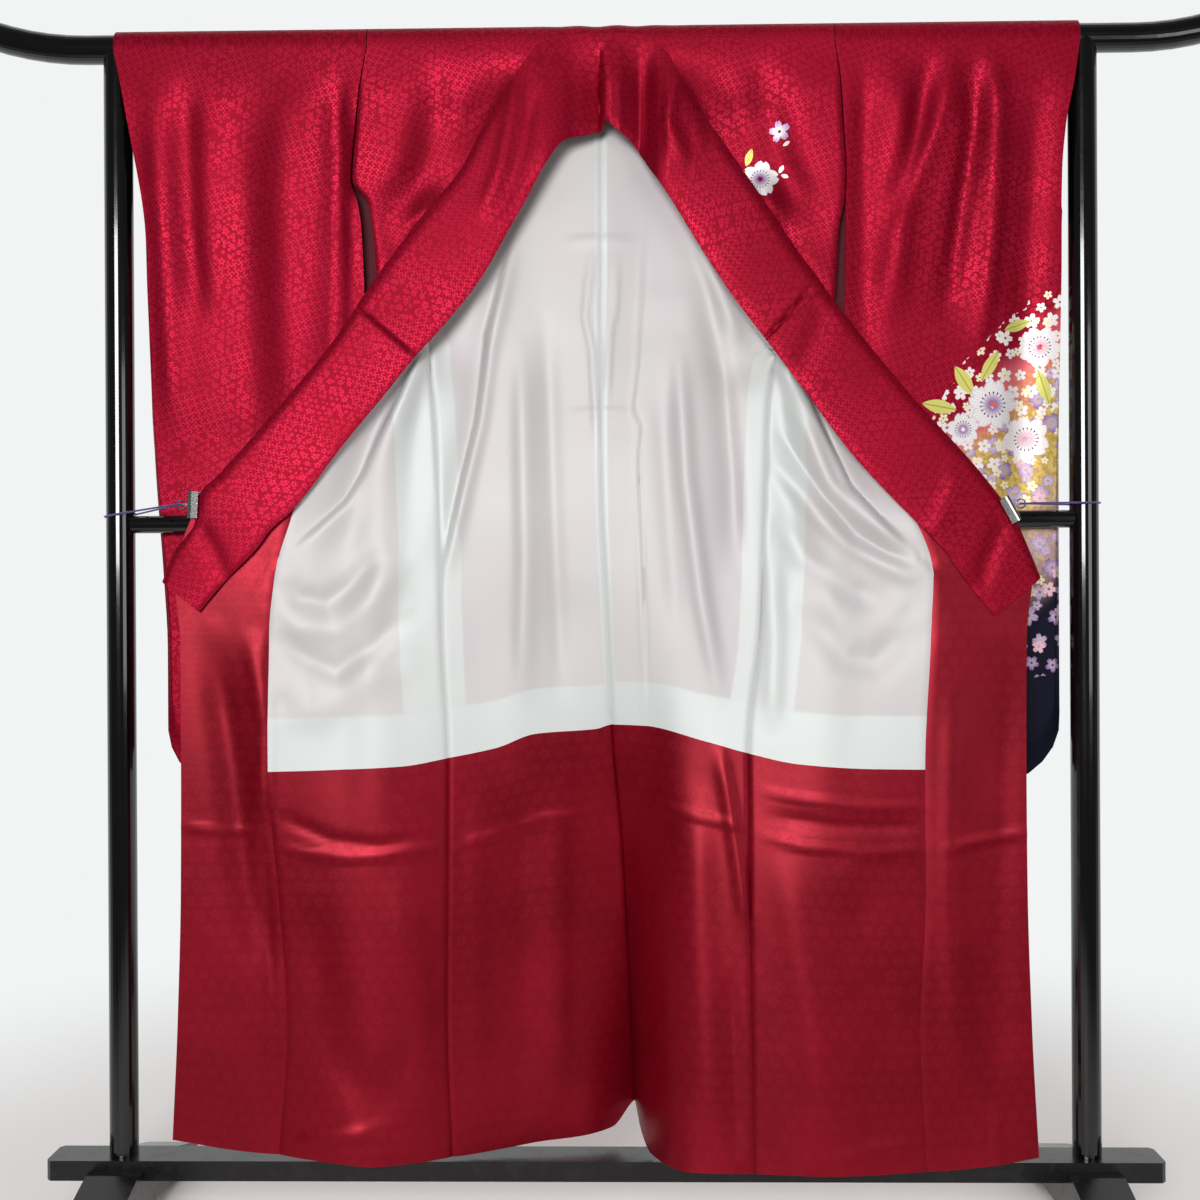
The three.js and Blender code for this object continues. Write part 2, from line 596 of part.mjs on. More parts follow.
// Grid of a body panel's outer face, from the hem of the back over the rail to the hem of the front.
function bodyGrid(side) {
  const sign = sides[side];
  const grid = levels.map((level) =>
    sectionPoints(backEdge(rowAt(backRows[side], level), sign), panelCells),
  );
  const shoulder = grid[grid.length - 1];
  for (const angle of railAngles) {
    const turn = THREE.MathUtils.degToRad(angle);
    const y = clothOverRail * Math.cos(turn);
    const z = railHeight + clothOverRail * Math.sin(turn);
    grid.push(shoulder.map((point) => new THREE.Vector3(point.x, y, z)));
  }
  for (const level of levels.toReversed()) {
    grid.push(sectionPoints(frontEdge(rowAt(frontRows[side], level), sign), panelCells));
  }
  return grid;
}

// Normals that point to the outer side of the garment, checked where the panel lies over the rail.
function outwardNormals(grid, ring = false) {
  const normals = gridNormals(grid, ring);
  const highest = grid.reduce((best, row, i) => (row[0].z > grid[best][0].z ? i : best), 0);
  const flip = normals[highest][0].z < 0 ? -1 : 1;
  normals.forEach((row) => row.forEach((normal) => normal.multiplyScalar(flip)));
  return normals;
}

const liningWall = (grid, normals) =>
  clothWall(grid, -liningStart, -garmentThickness, { normals });

// Two sewn edges that meet at an angle share their normals, so that their thickness is mitred.
function shareNormals(first, second, rows, firstColumn, secondColumn) {
  for (let i = 0; i < rows; i++) {
    const shared = first[i][firstColumn].clone().add(second[i][secondColumn]).normalize();
    first[i][firstColumn] = shared;
    second[i][secondColumn] = shared.clone();
  }
}

const bodies = {};
for (const side of Object.keys(sides)) {
  const grid = bodyGrid(side);
  bodies[side] = { grid, normals: outwardNormals(grid) };
}
shareNormals(bodies.left.normals, bodies.right.normals, levels.length, panelCells, panelCells);

for (const [side, { grid, normals }] of Object.entries(bodies)) {
  const seamRow = levels.indexOf(liningSeamLevel);
  const endRow = grid.length - 1;
  addPart("body_" + side, clothWall(grid, 0, -outerThickness, { normals }), finishes.redSilk);

  // Each lining is sewn edge to edge with the next, so the rows at their seam are moved apart.
  const liningPart = (first, last) => {
    const rows = grid.slice(first, last + 1).map((row) => row.map((point) => point.clone()));
    const apart = new THREE.Vector3(0, 0, seamGap);
    if (first === 0 || last === endRow) {
      const seam = first === 0 ? rows[rows.length - 1] : rows[0];
      seam.forEach((point) => point.sub(apart));
    } else {
      rows[0].forEach((point) => point.add(apart));
      rows[rows.length - 1].forEach((point) => point.add(apart));
    }
    return liningWall(rows, normals.slice(first, last + 1));
  };
  addPart("upper_lining_" + side, liningPart(seamRow, endRow - seamRow), finishes.whiteLining);
  addPart("hem_lining_back_" + side, liningPart(0, seamRow), finishes.redLining);
  addPart("hem_lining_front_" + side, liningPart(endRow - seamRow, endRow), finishes.redLining);
}

// ---- okumi: the narrow panel between the front and its free edge

for (const [side, sign] of Object.entries(sides)) {
  const grid = levels
    .filter((level) => level <= okumiTopLevel)
    .map((level) => {
      const front = frontEdge(rowAt(frontRows[side], level), sign);
      const edge = rowAt(okumiEdge[side], level);
      const seamX = front[11] + sign * 2 * seamGap;
      return sectionPoints([level, seamX, front[12], edge[1], edge[2]], okumiCells);
    });
  const normals = gridNormals(grid);
  const flip = normals[0][0].y < 0 ? -1 : 1; // its outer side faces the back, as the fronts lie open
  normals.forEach((row) => row.forEach((normal) => normal.multiplyScalar(flip)));
  addPart("okumi_" + side, clothWall(grid, 0, -outerThickness, { normals }), finishes.redSilk);
  addPart("hem_lining_okumi_" + side, liningWall(grid, normals), finishes.redLining);
}

// ---- collar and over-collar

const collarGrid = collarStations.map(([sx, sy, sz, fx, fy, fz]) => {
  const seam = new THREE.Vector3(sx, sy, sz);
  const free = new THREE.Vector3(fx, fy, fz);
  const row = [];
  for (let j = 0; j <= collarCells; j++) {
    row.push(seam.clone().lerp(free, j / collarCells));
  }
  return row;
});
const collarNormals = gridNormals(collarGrid);
const collarFlip = collarNormals[0][0].y > 0 ? -1 : 1;
collarNormals.forEach((row) => row.forEach((normal) => normal.multiplyScalar(collarFlip)));
addPart(
  "collar",
  clothWall(collarGrid, 0, -garmentThickness, { normals: collarNormals }),
  finishes.redSilk,
);
addPart(
  "over_collar",
  clothWall(
    collarGrid.slice(overCollarFirst, overCollarLast + 1),
    overCollarLift,
    overCollarLift + overCollarThickness,
    { normals: collarNormals.slice(overCollarFirst, overCollarLast + 1) },
  ),
  finishes.redSilk,
);

// ---- sleeves: a tube whose first loop is the open edge on the body side and whose last is the mouth

// Where the line down a sleeve's face ends: along the bottom, round the corner and up the wrist edge
// to the mouth. It gives the share across the sleeve and the height.
function sleeveSeamEnd(share, width) {
  const flat = width - sleeveCornerRadius;
  const corner = (Math.PI / 2) * sleeveCornerRadius;
  const rise = sleeveMouthBottom - sleeveBottom - sleeveCornerRadius;
  const reach = share * (flat + corner + rise);
  if (reach <= flat) return { across: reach / width, z: sleeveBottom };
  if (reach <= flat + corner) {
    const angle = (reach - flat) / sleeveCornerRadius;
    return {
      across: (flat + sleeveCornerRadius * Math.sin(angle)) / width,
      z: sleeveBottom + sleeveCornerRadius * (1 - Math.cos(angle)),
    };
  }
  return { across: 1, z: sleeveBottom + sleeveCornerRadius + reach - flat - corner };
}

// A point of a sleeve's front (-1) or back (+1) face at a height and a share across.
function sleevePoint(side, across, z, face, seamDistance) {
  const [, inner, outer, frontIn, frontOut, backIn, backOut] = rowAt(sleeveRows[side], z);
  const front = lerp(frontIn, frontOut, across);
  const back = lerp(backIn, backOut, across);
  const middle = (front + back) / 2;
  const fullness = smooth(seamDistance, 0, sleevePinchReach);
  const halfDepth = lerp(sleeveEdgeHalfDepth, (back - front) / 2, fullness);
  return new THREE.Vector3(lerp(inner, outer, across), middle + face * halfDepth, z);
}

function sleeveGrid(side) {
  const top = rowAt(sleeveRows[side], topLevel);
  const bottom = rowAt(sleeveRows[side], sleeveBottom);
  const width = Math.abs(bottom[2] - bottom[1]);
  const loops = [];
  for (let column = 0; column <= sleeveColumns; column++) {
    const share = column / sleeveColumns;
    const end = sleeveSeamEnd(share, width);
    const faceLine = (face) =>
      sleeveDrops.map((drop) => {
        const across = lerp(share, end.across, drop);
        const z = lerp(topLevel, end.z, drop);
        const length = topLevel - end.z;
        return sleevePoint(side, across, z, face, (1 - drop) * length);
      });
    const x = lerp(top[1], top[2], share);
    const overRail = railAngles.map((angle) => {
      const turn = THREE.MathUtils.degToRad(angle);
      const y = -clothOverRail * Math.cos(turn);
      return new THREE.Vector3(x, y, railHeight + clothOverRail * Math.sin(turn));
    });
    loops.push([...faceLine(-1).reverse(), ...overRail, ...faceLine(1)]);
  }
  return loops[0].map((_, i) => loops.map((loop) => loop[i]));
}

for (const side of Object.keys(sides)) {
  const grid = sleeveGrid(side);
  const normals = outwardNormals(grid, true);
  const wall = clothWall(grid, 0, -garmentThickness, { ring: true, normals });
  addPart("sleeve_" + side, wall, finishes.redSilk);
}

// ---- clips, rings and elastic loops

// Turns a piece made around a clip's middle, jaws towards +X, to the clip's place on the collar.
function placeOnCollar(geometry, { x, y, z, turn, side }) {
  if (side > 0) geometry.rotateZ(Math.PI);
  geometry.rotateY(THREE.MathUtils.degToRad(turn));
  geometry.translate(x, y, z);
  return geometry;
}

// A clip: two jaws that close over the collar's folded edge, joined by a round back that carries a
// tab for the ring.
function makeClip(clip) {
  const inner = clipMouth / 2;
  const outer = inner + clipSheet;
  const back = clipBack + clipSheet;
  const outline = new THREE.Shape();
  outline.moveTo(clipReach, -outer);
  outline.lineTo(clipReach, -inner);
  outline.lineTo(0, -inner);
  outline.quadraticCurveTo(-clipBack, -inner, -clipBack, 0);
  outline.quadraticCurveTo(-clipBack, inner, 0, inner);
  outline.lineTo(clipReach, inner);
  outline.lineTo(clipReach, outer);
  outline.lineTo(0, outer);
  outline.quadraticCurveTo(-back, outer, -back, 0);
  outline.quadraticCurveTo(-back, -outer, 0, -outer);
  const jaws = new THREE.ExtrudeGeometry(outline, {
    depth: clipWidth,
    bevelEnabled: false,
    curveSegments: 6,
  });
  jaws.translate(0, 0, -clipWidth / 2);
  const tab = new THREE.BoxGeometry(tabLength, tabWidth, clipSheet);
  tab.translate(-clipBack - clipSheet / 2 - tabLength / 2, 0, 0);
  const hole = new THREE.CylinderGeometry(tabHoleRadius, tabHoleRadius, 4 * clipSheet, 16);
  hole.rotateX(Math.PI / 2);
  hole.translate(ringRadius - ringOffset, 0, 0);
  return placeOnCollar(join(jaws, cut(tab, hole)), clip);
}

function makeRing(clip) {
  const ring = new THREE.TorusGeometry(ringRadius, ringWire, 8, 20);
  ring.rotateX(Math.PI / 2);
  ring.translate(-ringOffset, 0, 0);
  return placeOnCollar(ring, clip);
}

// The loop passes through the ring and round the upright.
function makeElastic({ x, y, z, turn, side, loopHeight }) {
  const lean = THREE.MathUtils.degToRad(turn);
  const ringX = x + side * ringOffset * Math.cos(lean);
  const ringZ = z - side * ringOffset * Math.sin(lean);
  const postX = standMiddle + side * uprightSpacing;
  const wrap = uprightRadius + elasticRadius + 0.5;
  const turnRadius = 3.6;
  const farX = postX + side * wrap;
  const height = (placeX) => lerp(ringZ, loopHeight, (placeX - ringX) / (farX - ringX));
  const places = [];
  const addPlace = (placeX, placeY) =>
    places.push(new THREE.Vector3(placeX, placeY, height(placeX)));
  for (const angle of [-90, -45, 0, 45, 90]) {
    const radians = THREE.MathUtils.degToRad(angle);
    const inward = turnRadius * Math.cos(radians) - 2;
    addPlace(ringX - side * inward, y + turnRadius * Math.sin(radians));
  }
  addPlace(ringX + side * 14, y + 8);
  for (const angle of [127, 100, 75, 50, 25, 0, -25, -50, -75]) {
    const radians = THREE.MathUtils.degToRad(angle);
    addPlace(postX + side * wrap * Math.cos(radians), wrap * Math.sin(radians));
  }
  addPlace(ringX + side * 14, y - turnRadius + 0.6);
  const path = new THREE.CatmullRomCurve3(places, true, "centripetal");
  return new THREE.TubeGeometry(path, 70, elasticRadius, 8, true);
}

for (const [side, clip] of Object.entries(clips)) {
  addPart("clip_" + side, makeClip(clip), finishes.steel);
  addPart("clip_ring_" + side, makeRing(clip), finishes.steel);
  addPart("elastic_loop_" + side, makeElastic(clip), finishes.elastic);
}

export default kimonoStand;
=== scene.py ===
import math
import bpy
import numpy as np
from mathutils import Matrix, Vector


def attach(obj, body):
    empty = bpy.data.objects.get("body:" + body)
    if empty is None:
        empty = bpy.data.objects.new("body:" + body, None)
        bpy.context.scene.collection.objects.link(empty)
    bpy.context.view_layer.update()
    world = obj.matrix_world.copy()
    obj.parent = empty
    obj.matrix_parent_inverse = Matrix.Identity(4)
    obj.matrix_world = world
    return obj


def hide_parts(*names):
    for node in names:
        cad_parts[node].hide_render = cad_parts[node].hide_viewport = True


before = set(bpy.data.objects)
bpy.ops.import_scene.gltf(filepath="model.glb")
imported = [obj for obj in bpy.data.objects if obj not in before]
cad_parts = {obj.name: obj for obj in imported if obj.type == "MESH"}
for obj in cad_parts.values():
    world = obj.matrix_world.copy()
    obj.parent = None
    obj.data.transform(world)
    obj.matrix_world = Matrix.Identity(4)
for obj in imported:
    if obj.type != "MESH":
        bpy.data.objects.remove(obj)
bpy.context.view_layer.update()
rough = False
print("frame loaded")

mm = 0.001

camera = {"place": (0.0255, -2.075, 0.883), "turn": -1.085, "pitch": -0.09, "roll": -0.30,
          "focal": 1472.0, "frame": 1200.0}


def makeCamera():
    yaw, pitch, roll = (math.radians(camera[k]) for k in ("turn", "pitch", "roll"))
    forward = Vector((math.sin(yaw) * math.cos(pitch), math.cos(yaw) * math.cos(pitch), math.sin(pitch)))
    level = Vector((math.cos(yaw), -math.sin(yaw), 0))
    upright = level.cross(forward)
    right = math.cos(roll) * level + math.sin(roll) * upright
    up = right.cross(forward)
    data = bpy.data.cameras.new("camera")
    data.sensor_width = 36
    data.lens = 36 * camera["focal"] / camera["frame"]
    data.clip_end = 100
    eye = bpy.data.objects.new("camera", data)
    eye.matrix_world = Matrix.Translation(camera["place"]) @ Matrix((right, up, -forward)).transposed().to_4x4()
    bpy.context.collection.objects.link(eye)
    bpy.context.scene.camera = eye


def areaLight(name, place, target, size, power):
    data = bpy.data.lights.new(name, "AREA")
    data.shape = "RECTANGLE"
    data.size, data.size_y = size
    data.energy = power
    lamp = bpy.data.objects.new(name, data)
    lamp.visible_camera = False
    aim = (Vector(target) - Vector(place)).to_track_quat("-Z", "Y")
    lamp.matrix_world = Matrix.Translation(place) @ aim.to_matrix().to_4x4()
    bpy.context.collection.objects.link(lamp)


def makeStudio():
    # A bright wall behind the stand and a dimmer room on the side of the camera.
    world = bpy.data.worlds.new("studio")
    world.use_nodes = True
    tree = world.node_tree
    sky = tree.nodes["Background"]
    toward = placeOf(Wire(tree, None)).parts()[1]
    glow = toward.ramp(*studio["wallEdge"]) * (studio["wall"] - studio["room"]) + studio["room"]
    setSockets(sky, {"Color": studio["sky"], "Strength": glow})
    bpy.context.scene.world = world
    for name, lamp in studio["lamps"].items():
        areaLight(name, *lamp)
    scene = bpy.context.scene
    scene.view_settings.view_transform = "Standard"
    scene.view_settings.look = "None"


studio = {"sky": (0.965, 0.98, 0.985, 1), "wall": 0.92, "room": 0.10, "wallEdge": (-0.25, 0.5),
          "lamps": {"key": ((-0.65, -3.85, 1.65), (0, 0, 0.85), (1.3, 1.3), 114),
                    "fill": ((2.3, -3.4, 1.2), (0, 0, 0.85), (1.4, 1.4), 20),
                    "over": ((0.0, -1.2, 3.9), (0, -0.2, 0.0), (2.4, 1.6), 10)},
          "floorRadius": 7.0}


def setSockets(node, values):
    for key, value in values.items():
        if isinstance(value, Wire):
            value.tree.links.new(value.socket, node.inputs[key])
        else:
            node.inputs[key].default_value = value


class Wire:  # one socket of a material, with the usual operators
    def __init__(self, tree, socket):
        self.tree, self.socket = tree, socket

    def node(self, kind, settings=None, inputs=None, output=0):
        made = self.tree.nodes.new(kind)
        for key, value in (settings or {}).items():
            setattr(made, key, value)
        setSockets(made, inputs or {})
        return Wire(self.tree, made.outputs[output])

    def math(self, operation, *others, clamp=False):
        inputs = dict(enumerate((self, *others)))
        return self.node("ShaderNodeMath", {"operation": operation, "use_clamp": clamp}, inputs)

    def __add__(self, other): return self.math("ADD", other)
    def __radd__(self, other): return self.math("ADD", other)
    def __sub__(self, other): return self.math("SUBTRACT", other)
    def __rsub__(self, other): return (self * -1) + other
    def __mul__(self, other): return self.math("MULTIPLY", other)
    def __rmul__(self, other): return self.math("MULTIPLY", other)
    def __truediv__(self, other): return self.math("DIVIDE", other)
    def __abs__(self): return self.math("ABSOLUTE")
    def __gt__(self, other): return self.math("GREATER_THAN", other)
    def __lt__(self, other): return self.math("LESS_THAN", other)
    def sin(self): return self.math("SINE")
    def cos(self): return self.math("COSINE")
    def floor(self): return self.math("FLOOR")
    def fract(self): return self.math("FRACT")
    def sqrt(self): return self.math("SQRT")
    def most(self, other): return self.math("MAXIMUM", other)
    def clip(self): return self.math("ADD", 0.0, clamp=True)

    def ramp(self, low, high):  # 0 below low, 1 above high, smooth between
        return self.node("ShaderNodeMapRange", {"interpolation_type": "SMOOTHSTEP"},
                         {0: self, 1: low, 2: high})

    def mix(self, first, second):  # colour: first where self is 0, second where it is 1
        return self.node("ShaderNodeMix", {"data_type": "RGBA"}, {0: self, 6: first, 7: second}, output=2)

    def noise(self, size, detail=2.0, rough=0.5, output=0):
        return self.node("ShaderNodeTexNoise", {}, {"Vector": self, "Scale": 1 / size, "Detail": detail,
                                                    "Roughness": rough}, output=output)

    def parts(self):
        return [self.node("ShaderNodeSeparateXYZ", {}, {0: self}, output=k) for k in range(3)]


def newMaterial(recipe):  # a recipe gives the values and wires of its shader's sockets
    made = bpy.data.materials.new(recipe.__name__)
    made.use_nodes = True
    setSockets(made.node_tree.nodes["Principled BSDF"], recipe(Wire(made.node_tree, None)))
    return made


def bump(height, strength, distance=0.001):
    return height.node("ShaderNodeBump", {}, {"Strength": strength, "Distance": distance, "Height": height})


def rgb(red, green, blue):  # a screen colour of 0 to 255 as linear light
    channel = lambda c: c / 255 / 12.92 if c <= 10 else ((c / 255 + 0.055) / 1.055) ** 2.4
    return (channel(red), channel(green), channel(blue), 1)


def uvOf(start): return start.node("ShaderNodeUVMap", {"uv_map": "cloth"}).parts()
def placeOf(start): return start.node("ShaderNodeTexCoord", output=3)
def attribute(start, name): return start.node("ShaderNodeAttribute", {"attribute_name": name}, output=2)


def keyFret(u, v, size):
    # Outline of interlocking crosses of five squares, the turned key fret: each square is numbered
    # column + 2 * row modulo 5, square 0 is a cross's middle and 1 to 4 are its arms.
    a = (u + v) * (0.7071 / size)
    b = (v - u) * (0.7071 / size)
    column, row = a.floor(), b.floor()
    number = (((column + row * 2.0) / 5.0).fract() * 5.0 + 0.5).floor()
    x, y = a.fract(), b.fract()
    line = damask["line"]
    arm = lambda k: 1.0 - (abs(number - k) < 0.5)
    sides = (x < line) * arm(1.0)
    sides = sides.most((x > 1 - line) * arm(4.0))
    sides = sides.most((y < line) * arm(2.0))
    sides = sides.most((y > 1 - line) * arm(3.0))
    return sides * (number > 0.5)


def cellNoise(start, column, row, seed):
    both = start.node("ShaderNodeCombineXYZ", {}, {0: column, 1: row, 2: seed})
    return start.node("ShaderNodeTexWhiteNoise", {"noise_dimensions": "3D"}, {0: both}, output=1).parts()


def petals(x, y, turn, count, broad):
    # Edge of a blossom: each petal is an ellipse along its own direction with a notch in its tip. The
    # first value is below 1 inside a petal, the second is the distance from the blossom's middle.
    far = (x * x + y * y).sqrt()
    angle = y.math("ARCTAN2", x) * (count / 6.2832) + turn
    local = (angle.fract() - 0.5) * (6.2832 / count)
    along, across = far * local.cos(), abs(far * local.sin())
    long = (along - 0.56) / 0.44
    wide = across / broad
    edge = (long * long + wide * wide).sqrt()
    notch = (along - across * 1.1) / 0.86
    return edge.most(notch), far, local


def blossomField(start, u, v, size, seed, share, reach=(0.30, 0.46), broad=0.31):
    # One blossom to a square of a grid, moved, turned and sized at random; some squares stay empty.
    # Every second row of squares lies half a square over.
    b = v / size + seed * 0.37
    row = b.floor()
    a = u / size + seed * 0.61 + (row * 0.5).fract()
    column = a.floor()
    pick = cellNoise(start, column, row, seed)
    other = cellNoise(start, column, row, seed + 7.3)
    radius = other[0] * (reach[1] - reach[0]) + reach[0]
    room = 0.5 - radius
    x = a.fract() - 0.5 - (pick[0] - 0.5) * 2.0 * room
    y = b.fract() - 0.5 - (pick[1] - 0.5) * 2.0 * room
    edge, far, local = petals(x / radius, y / radius, other[1], 5.0, broad)
    there = pick[2] < share
    return edge, far, local, there, other[2]


def bloom(u, v, place, radius, turn, count=5.0, broad=0.42):
    x, y = (u - place[0]) / radius, (v - place[1]) / radius
    return petals(x, y, turn, count, broad)


def leafAt(u, v, place, length, width, lean):
    # A pointed leaf: a lens as wide as width * (1 - (along / length) ** 2), with a vein down the middle.
    c, s = math.cos(lean), math.sin(lean)
    x, y = u - place[0], v - place[1]
    along = (x * c + y * s) / length
    across = abs(y * c - x * s) / width
    inside = across < (1.0 - along * along)
    vein = across < 0.08
    return inside, vein


damask = {"fret": 0.0044, "line": 0.21, "flower": 0.0125, "small": 0.0078, "patch": 0.062}


def damaskWeave(start):
    # 1 where the satin lies and 0 on the ground weave: the lines of a key fret in some patches and
    # small five-petalled flowers of two sizes in the others.
    u, v, _ = uvOf(start)
    fret = keyFret(u, v, damask["fret"])
    edge, far, _, there, _ = blossomField(start, u * 0.82 - v * 0.57, u * 0.57 + v * 0.82, damask["flower"],
                                          3.0, 0.9, (0.30, 0.50), 0.30)
    large = (edge < 1.0) * (far > 0.20) * there
    outside = 1.0 - (edge < 1.25) * there
    edge, far, _, there, _ = blossomField(start, u * 0.91 + v * 0.42, v * 0.91 - u * 0.42, damask["small"],
                                          8.0, 0.85, (0.28, 0.48), 0.34)
    flower = large.most((edge < 1.0) * there * outside)
    where = start.node("ShaderNodeCombineXYZ", {}, {0: u, 1: v}).noise(damask["patch"], 1.0).ramp(0.45, 0.50)
    return fret * (1.0 - where) + flower * where


def twill(start, size):
    # Fine slanting ribs of the weave.
    u, v, _ = uvOf(start)
    return ((u + v * 0.6) * (6.283 / size)).sin() * 0.5 + 0.5


# The damask's woven figure is real. Its lighter red (figure) is painted satin sheen, the light its satin floats
# catch.
silk = {"red": rgb(142, 3, 33), "redLow": rgb(130, 1, 27), "figure": rgb(182, 22, 60),
        "strength": 0.55, "roughness": 0.46, "metallic": 0.58}


def silkGround(start):
    figure = damaskWeave(start)
    tone = placeOf(start).noise(0.30, 2.0).ramp(0.35, 0.65)
    wearAndSheen = placeOf(start).noise(0.11, 2.0).ramp(0.3, 0.7) * 0.6 + 0.4  # painted satin sheen: the figure's lighter red shows more in places
    ground = tone.mix(silk["redLow"], silk["red"])
    grain = placeOf(start).noise(0.0022, 1.0) - 0.5
    figure = (figure * wearAndSheen + grain * 0.5).clip()
    return (figure * silk["strength"]).mix(ground, silk["figure"]), figure


def finishSilk(start, colour, figure):
    height = figure * 0.5 + twill(start, 0.0011) * 0.2 + placeOf(start).noise(0.004, 2.0) * 0.35
    return {"Base Color": colour, "Roughness": silk["roughness"] + 0.05 - figure * 0.12,
            "Metallic": silk["metallic"], "Specular IOR Level": 0.15, "Normal": bump(height, 0.35, 0.0006)}


def redSilk(start):
    return finishSilk(start, *silkGround(start))


dyes = {"gold": rgb(206, 178, 98), "goldLow": rgb(176, 146, 78), "lilac": rgb(176, 148, 190),
        "lilacDeep": rgb(140, 104, 164), "navy": rgb(22, 23, 38), "white": rgb(232, 226, 226),
        "cream": rgb(238, 222, 184), "pink": rgb(232, 176, 186), "leaf": rgb(206, 202, 112),
        "leafDark": rgb(160, 152, 70), "plum": rgb(128, 70, 130), "dark": rgb(52, 40, 60)}


def paintBlossoms(start, colour, u, v, size, seed, share, paints, heart, where):
    # Lays one field of blossoms over a colour, each in one of two paints, with veins and a heart.
    edge, far, local, there, pick = blossomField(start, u, v, size, seed, share)
    mask = (edge < 1.0) * there * where
    petal = (pick > 0.5).mix(paints[0], paints[1])
    petal = (far.ramp(0.95, 0.2) * 0.45).mix(petal, dyes["white"])
    petal = (edge.ramp(0.72, 1.0) * 0.4).mix(petal, heart)
    rib = (abs(local) < 0.07) * (far < 0.62) * 0.45
    petal = rib.mix(petal, heart)
    petal = (far < 0.15).mix(petal, dyes["gold"])
    return mask.mix(colour, petal), mask


def paintBloom(start, colour, u, v, place, radius, turn, petal, heart):
    # A large blossom: five broad petals, a soft coloured heart and a ring of stamen tips.
    edge, far, local = bloom(u, v, place, radius, turn)
    paint = far.ramp(0.06, 0.52).mix(heart, petal)
    shade = (edge.ramp(0.80, 1.0) * 0.22)
    paint = shade.mix(paint, heart)
    vein = (abs((local * 18.0).sin()) > 0.92) * far.ramp(0.35, 0.6) * 0.14
    paint = vein.mix(paint, heart)
    spin = (v - place[1]).math("ARCTAN2", u - place[0])
    thread = (abs((spin * 9.0 + turn).sin()) > 0.80) * (far < 0.44) * (far > 0.16) * 0.35
    paint = thread.mix(paint, dyes["plum"])
    tip = (abs((spin * 9.0 + turn).sin()) > 0.86) * (abs(far - 0.47) < 0.035)
    paint = tip.mix(paint, dyes["dark"])
    mask = edge < 1.0
    return mask.mix(colour, paint), mask


def paintLeaf(colour, u, v, place, length, width, lean):
    inside, vein = leafAt(u, v, place, length, width, lean)
    paint = vein.mix(dyes["leaf"], dyes["leafDark"])
    return inside.mix(colour, paint), inside


sleeveDesign = {"corner": (0.612, 1.315), "slope": (0.72, -0.70),
                "blooms": [((0.541, 1.152), 0.036, 0.32), ((0.606, 1.232), 0.030, 0.75),
                           ((0.500, 1.118), 0.024, 0.10), ((0.590, 1.104), 0.033, 0.90)],
                "leaves": [((0.500, 1.186), 0.024, 0.0095, 2.15), ((0.466, 1.150), 0.025, 0.0095, 2.95),
                           ((0.536, 1.206), 0.024, 0.0085, 1.05), ((0.574, 1.262), 0.020, 0.0075, 0.35),
                           ((0.612, 1.176), 0.026, 0.0085, 1.9)]}
chestDesign = {"blooms": [((0.2145, 1.470), 0.0265, 0.40), ((0.241, 1.534), 0.0150, 0.10)],
               "leaves": [((0.182, 1.484), 0.0135, 0.0060, 2.75), ((0.199, 1.501), 0.0125, 0.0050, 1.25),
                          ((0.183, 1.466), 0.0110, 0.0050, 3.6)],
               "petals": [((0.2505, 1.517), 0.0052, 0.5), ((0.2440, 1.4835), 0.0062, 1.05),
                          ((0.2490, 1.4740), 0.0055, -0.3)]}


def dyedGround(start, colour, reach):
    # The red ground turns gold, then lilac, then navy with distance down the slope.
    cloudy = placeOf(start).noise(0.09, 2.0) * 0.06 - 0.03
    far = reach + cloudy
    speck = placeOf(start).noise(0.006, 2.0).ramp(0.4, 0.6)
    gold = speck.mix(dyes["goldLow"], dyes["gold"])
    blush = far.ramp(0.02, 0.07).mix(colour, rgb(214, 96, 110))
    colour = far.ramp(0.05, 0.12).mix(blush, gold)
    colour = (far.ramp(0.17, 0.25) * 0.4).mix(colour, dyes["lilac"])
    return far.ramp(0.255, 0.315).mix(colour, dyes["navy"])


def patternedSilk(start):
    ground, figure = silkGround(start)
    x, _, z = placeOf(start).parts()
    corner, slope = sleeveDesign["corner"], sleeveDesign["slope"]
    reach = (x - corner[0]) * slope[0] + (z - corner[1]) * slope[1]
    colour = dyedGround(start, ground, reach)
    loose = start.node("ShaderNodeCombineXYZ", {}, {0: x, 1: z}).noise(0.06, 1.0) * 0.07 - 0.035
    near = (reach + loose) > 0.0
    early = near * (reach < 0.13)
    late = (reach > 0.085) * ((reach + loose) < 0.385)
    for size, seed, share, paints, heart, where in (
        (0.034, 1.0, 0.95, (dyes["lilac"], dyes["lilacDeep"]), dyes["plum"], late),
        (0.026, 6.0, 0.55, (dyes["lilac"], dyes["pink"]), dyes["plum"], late),
        (0.025, 2.0, 0.85, (dyes["white"], dyes["white"]), dyes["pink"], early),
        (0.019, 5.0, 0.50, (dyes["cream"], dyes["white"]), dyes["gold"], near * (reach < 0.30)),
    ):
        colour, _ = paintBlossoms(start, colour, x, z, size, seed, share, paints, heart, where)
    for leaf in sleeveDesign["leaves"]:
        colour, _ = paintLeaf(colour, x, z, *leaf)
    for (place, radius, turn), heart in zip(sleeveDesign["blooms"], ("lilacDeep", "pink", "lilacDeep", "pink")):
        colour, _ = paintBloom(start, colour, x, z, place, radius, turn, dyes["white"], dyes[heart])
    return finishSilk(start, colour, figure)


